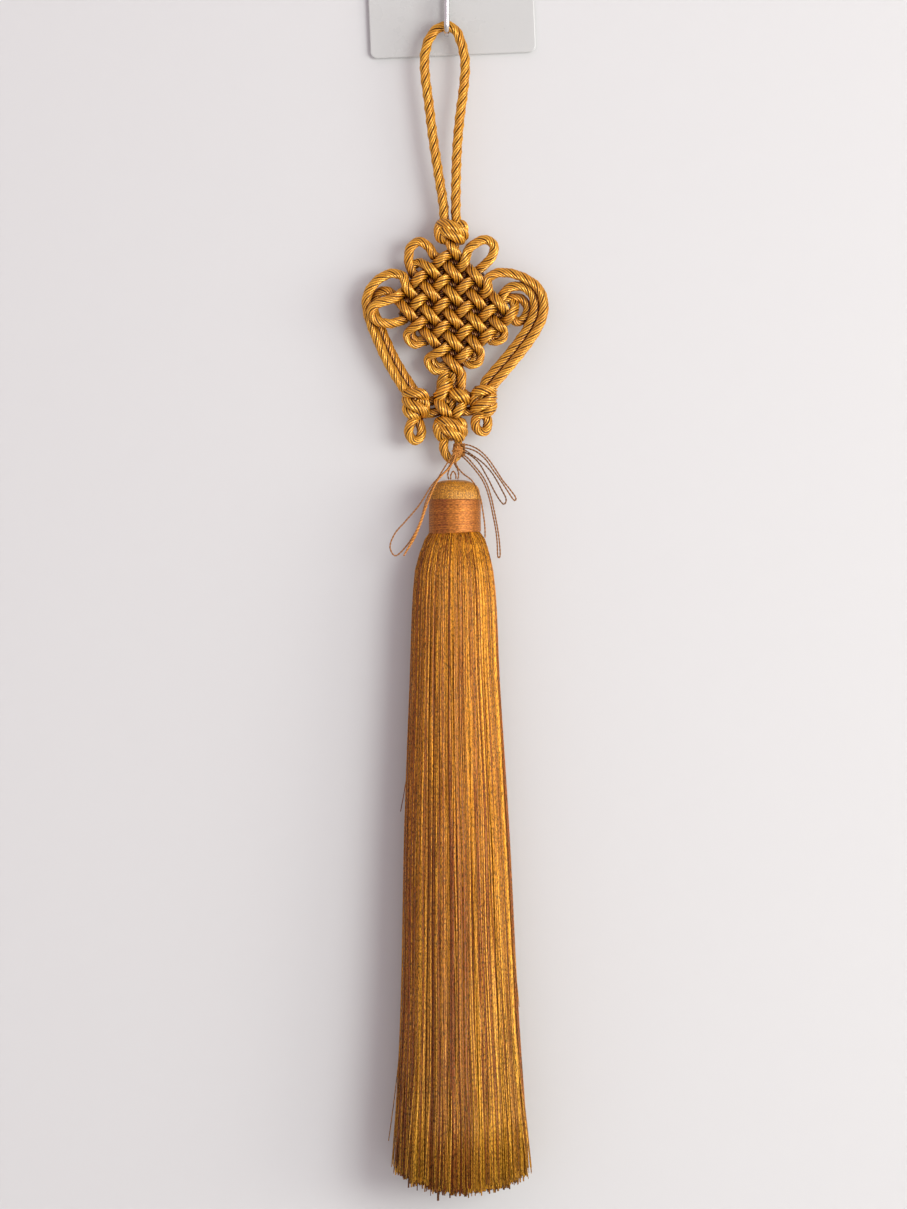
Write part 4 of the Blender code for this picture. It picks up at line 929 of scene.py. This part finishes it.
# What each thread looks like. Colours are linear, and the fibres' height is in metres
FIBRE_HEIGHT = 0.00012
# groove is the painted shade in the grooves and on threads lying under others
LOOKS = {
    "cord": dict(
        deep=(0.76, 0.28, 0.016), bright=(1.0, 0.52, 0.045), groove=(0.07, 0.025, 0.012),
        crest_from=(0.26, 0.80), fibres=4.5, stretch=5.0, fibre_from=(0.35, 0.62), fibre_shade=0.6,
        bump=0.25, roughness=0.22, metallic=0.42, specular=1.0, gloss=(1.0, 0.88, 0.64),
        # tip: painted shade where other cord lies close over the cord
        tip=(0.24, 0.09, 0.06), tip_from=(0.1, 1.0)),
    "silk": dict(
        deep=(0.29, 0.054, 0.008), bright=(1.0, 0.415, 0.024), groove=(0.22, 0.09, 0.04),
        crest_from=(0.0, 0.65), fibres=3.1, stretch=3.0, fibre_from=(0.40, 0.57), fibre_shade=0.18,
        bump=1.1, roughness=0.26, metallic=0.28, specular=0.75, gloss=(1.0, 0.78, 0.42),
        tip=(0.96, 1.12, 1.5), tip_from=(0.45, 0.85)),
    "cap": dict(
        deep=(0.52, 0.19, 0.014), bright=(1.0, 0.45, 0.035), groove=(0.30, 0.20, 0.14),
        crest_from=(0.0, 1.0), fibres=2.8, stretch=1.5, fibre_from=(0.38, 0.62), fibre_shade=0.22,
        bump=0.6, roughness=0.40, metallic=0.1, specular=0.7, gloss=(1.0, 0.82, 0.55)),
    "band": dict(
        deep=(0.25, 0.058, 0.020), bright=(0.72, 0.250, 0.034), groove=(0.60, 0.48, 0.40),
        crest_from=(0.0, 1.0), fibres=1.5, stretch=1.6, fibre_from=(0.40, 0.60), fibre_shade=0.45,
        bump=0.9, roughness=0.40, metallic=0.45, specular=0.7, gloss=(1.0, 0.76, 0.42)),
    "thread": dict(
        deep=(0.12, 0.06, 0.030), bright=(0.80, 0.32, 0.055), groove=(0.45, 0.35, 0.28),
        crest_from=(0.0, 1.0), fibres=8.0, stretch=8.0, fibre_from=(0.3, 0.7), fibre_shade=0.7,
        bump=0.1, roughness=0.42, metallic=0.0, specular=0.5, gloss=(1.0, 0.85, 0.6)),
}
# Plain finishes: name, colour, roughness, metallic, speckle and how fine it is
STEEL = ("polished_steel", (0.62, 0.60, 0.60), 0.2, 1.0, 0.1, 400.0)
PLASTIC = ("milky_plastic", (0.47, 0.475, 0.46), 0.28, 0.0, 0.04, 90.0)
GLOSS_SPREAD = 0.15


def poly_spline(data, points):
    """A spline of straight stretches through points in millimetres."""
    spline = data.splines.new("POLY")
    spline.points.add(len(points) - 1)
    for point, place in zip(spline.points, points):
        point.co = (*(value * MM for value in place), 1.0)
    return spline


def build_hook(steel):
    """The J of round wire and the strap that holds it on the plate."""
    leg = -(PLATE_THICKNESS + STRAP_THICKNESS + STRAP_GAP + HOOK_WIRE_RADIUS)
    rows = [(HOOK_RIGHT, down, 0.0) for down in (-HOOK_TOP, 0.0, HOOK_STRAIGHT_DOWN)]
    for angle in np.linspace(0.0, math.pi, 9):
        rows.append((
            HOOK_RIGHT,
            HOOK_BEND_DOWN + HOOK_BEND_RADIUS * math.sin(angle),
            -HOOK_BEND_RADIUS * (1 - math.cos(angle)),
        ))
    rows += [(HOOK_RIGHT, down, -2 * HOOK_BEND_RADIUS) for down in (HOOK_RISE_DOWN, HOOK_TIP_DOWN)]
    strap = rounded_box("hook_strap", (STRAP_WIDTH, STRAP_THICKNESS, STRAP_HEIGHT), STRAP_EDGE)
    strap.location = Vector((HOOK_RIGHT, -(PLATE_THICKNESS + STRAP_GAP + STRAP_THICKNESS / 2), 0.0)) * MM
    data = bpy.data.curves.new("hook_wire", "CURVE")
    data.dimensions = "3D"
    data.bevel_depth = HOOK_WIRE_RADIUS * MM
    data.bevel_resolution = 6
    data.use_fill_caps = True
    route = smooth_route(rows, OUTLINE_STEP)
    poly_spline(data, [(right, leg + behind, -down) for right, down, behind, _ in route])
    wire = add_object("hook_wire", data)
    for piece in (wire, strap):
        piece.data.materials.append(steel)
        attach(piece, "root")
        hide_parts("hook")


def rounded_box(name, size, edge):
    """A box with rounded edges."""
    bpy.ops.mesh.primitive_cube_add(size=1.0)
    box = bpy.context.object
    box.name = name
    box.scale = Vector(size) * MM
    bpy.ops.object.transform_apply(location=False, rotation=False, scale=True)
    bevel = box.modifiers.new("edges", "BEVEL")
    bevel.width = edge * MM
    bevel.segments = 4
    bpy.ops.object.modifier_apply(modifier="edges")
    box.data.shade_smooth()
    box.data.set_sharp_from_angle(angle=math.radians(40.0))
    return box


def build_plate(plastic):
    """The square plate, its face rounded over at the rim."""
    data = bpy.data.curves.new("wall_plate", "CURVE")
    data.dimensions = "2D"
    data.fill_mode = "BOTH"
    data.extrude = (PLATE_THICKNESS / 2 - PLATE_EDGE) * MM
    data.bevel_depth = PLATE_EDGE * MM
    data.bevel_resolution = 4
    data.offset = -PLATE_EDGE * MM
    inset = PLATE_SIDE / 2 - PLATE_CORNER
    corners = []
    for quarter in range(4):
        middle = math.pi / 4 + quarter * math.pi / 2
        centre = (math.copysign(inset, math.cos(middle)), math.copysign(inset, math.sin(middle)))
        for share in np.linspace(-math.pi / 4, math.pi / 4, 13):
            corners.append((
                centre[0] + PLATE_CORNER * math.cos(middle + share),
                centre[1] + PLATE_CORNER * math.sin(middle + share),
                0.0,
            ))
    poly_spline(data, corners).use_cyclic_u = True
    plate = add_object("wall_plate", data)
    plate.rotation_euler = (math.pi / 2, -PLATE_TILT, 0.0)
    plate.location = (0.0, -PLATE_THICKNESS / 2 * MM, 0.0)
    plate.data.materials.append(plastic)
    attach(plate, "root")
    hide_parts("hook_plate")


def plain_material(name, colour, roughness, metallic, speckle, scale):
    """A smooth finish with faint unevenness in its gloss and colour."""
    material, nodes, links, shader = new_material(name)
    place = nodes.new("ShaderNodeTexCoord")
    noise = nodes.new("ShaderNodeTexNoise")
    noise.inputs["Scale"].default_value = scale
    noise.inputs["Detail"].default_value = 4.0
    links.new(place.outputs["Object"], noise.inputs["Vector"])
    darker = tuple(channel * (1 - speckle) for channel in colour)
    links.new(mixed(nodes, links, "MIX", noise.outputs["Fac"], darker, colour), shader.inputs["Base Color"])
    roughnesses = (roughness * (1 - GLOSS_SPREAD), roughness * (1 + GLOSS_SPREAD))
    gloss = ramped(nodes, links, noise.outputs["Fac"], (0.0, 1.0), roughnesses)
    links.new(gloss, shader.inputs["Roughness"])
    shader.inputs["Metallic"].default_value = metallic
    return material


def matt_paint(name):
    """Matt paint in the wall's colour, with its nodes, links and shader."""
    paint, nodes, links, shader = new_material(name)
    shader.inputs["Base Color"].default_value = (*WALL_COLOUR, 1.0)
    shader.inputs["Roughness"].default_value = PAINT_ROUGHNESS
    return paint, nodes, links, shader


def build_stage():
    """A pale wall that shows from its front only, and a pale floor well below."""
    wall_paint, nodes, links, shader = matt_paint("wall_paint")
    side = nodes.new("ShaderNodeNewGeometry")
    clear = nodes.new("ShaderNodeBsdfTransparent")
    pick = nodes.new("ShaderNodeMixShader")
    links.new(side.outputs["Backfacing"], pick.inputs["Fac"])
    links.new(shader.outputs["BSDF"], pick.inputs[1])
    links.new(clear.outputs["BSDF"], pick.inputs[2])
    links.new(pick.outputs["Shader"], nodes["Material Output"].inputs["Surface"])
    floor_paint = matt_paint("floor_paint")[0]
    for name, tilt, place, paint in (
        ("wall", math.pi / 2, (0.0, WALL_GAP, FLOOR_HEIGHT + STAGE_SIZE / 2), wall_paint),
        ("floor", 0.0, (0.0, 0.0, FLOOR_HEIGHT), floor_paint),
    ):
        bpy.ops.mesh.primitive_plane_add(size=STAGE_SIZE, location=place, rotation=(tilt, 0.0, 0.0))
        board = bpy.context.object
        board.name = name
        board.data.materials.append(paint)
        board.visible_shadow = name != "wall"


def add_light(name, place, target, size, power, colour):
    """A round soft light that faces its target."""
    data = bpy.data.lights.new(name, "AREA")
    data.shape = "DISK"
    data.size = size
    data.energy = power
    data.color = colour
    light = add_object(name, data)
    light.location = place
    light.rotation_euler = (Vector(target) - Vector(place)).to_track_quat("-Z", "Y").to_euler()


def build_light():
    """The sky, the lights and the plain view of colours."""
    world = bpy.data.worlds.new("studio")
    world.use_nodes = True
    sky = world.node_tree.nodes["Background"]
    sky.inputs["Color"].default_value = (*SKY_COLOUR, 1.0)
    sky.inputs["Strength"].default_value = SKY_STRENGTH
    bpy.context.scene.world = world
    for row in LIGHTS:
        add_light(*row)
    bpy.context.scene.view_settings.view_transform = "Standard"


def build_camera():
    """The photograph's view, straight on, with its height filling the frame."""
    data = bpy.data.cameras.new("camera")
    data.sensor_width = 36.0
    data.lens = data.sensor_width * (CAMERA_DISTANCE + KNOT_PLANE) / (PHOTO_HEIGHT * PIXEL)
    data.clip_start = 0.01
    camera = add_object("camera", data)
    camera.location = Vector((CAMERA_RIGHT, -CAMERA_DISTANCE, -CAMERA_DOWN)) * MM
    camera.rotation_euler = (math.pi / 2, 0.0, 0.0)
    bpy.context.scene.camera = camera


def main():
    """Load the frame and dress it."""
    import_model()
    build_camera()
    build_light()
    build_stage()
    looks = {name: thread_material(name, look) for name, look in LOOKS.items()}
    chance = np.random.default_rng(SEED)
    build_cord(looks["cord"], chance)
    build_threads(looks["thread"], chance)
    build_cap(looks["cap"], chance)
    build_band(looks["band"], chance)
    build_skirt(looks["silk"], chance)
    build_hook(plain_material(*STEEL))
    build_plate(plain_material(*PLASTIC))
    bpy.context.view_layer.update()


main()
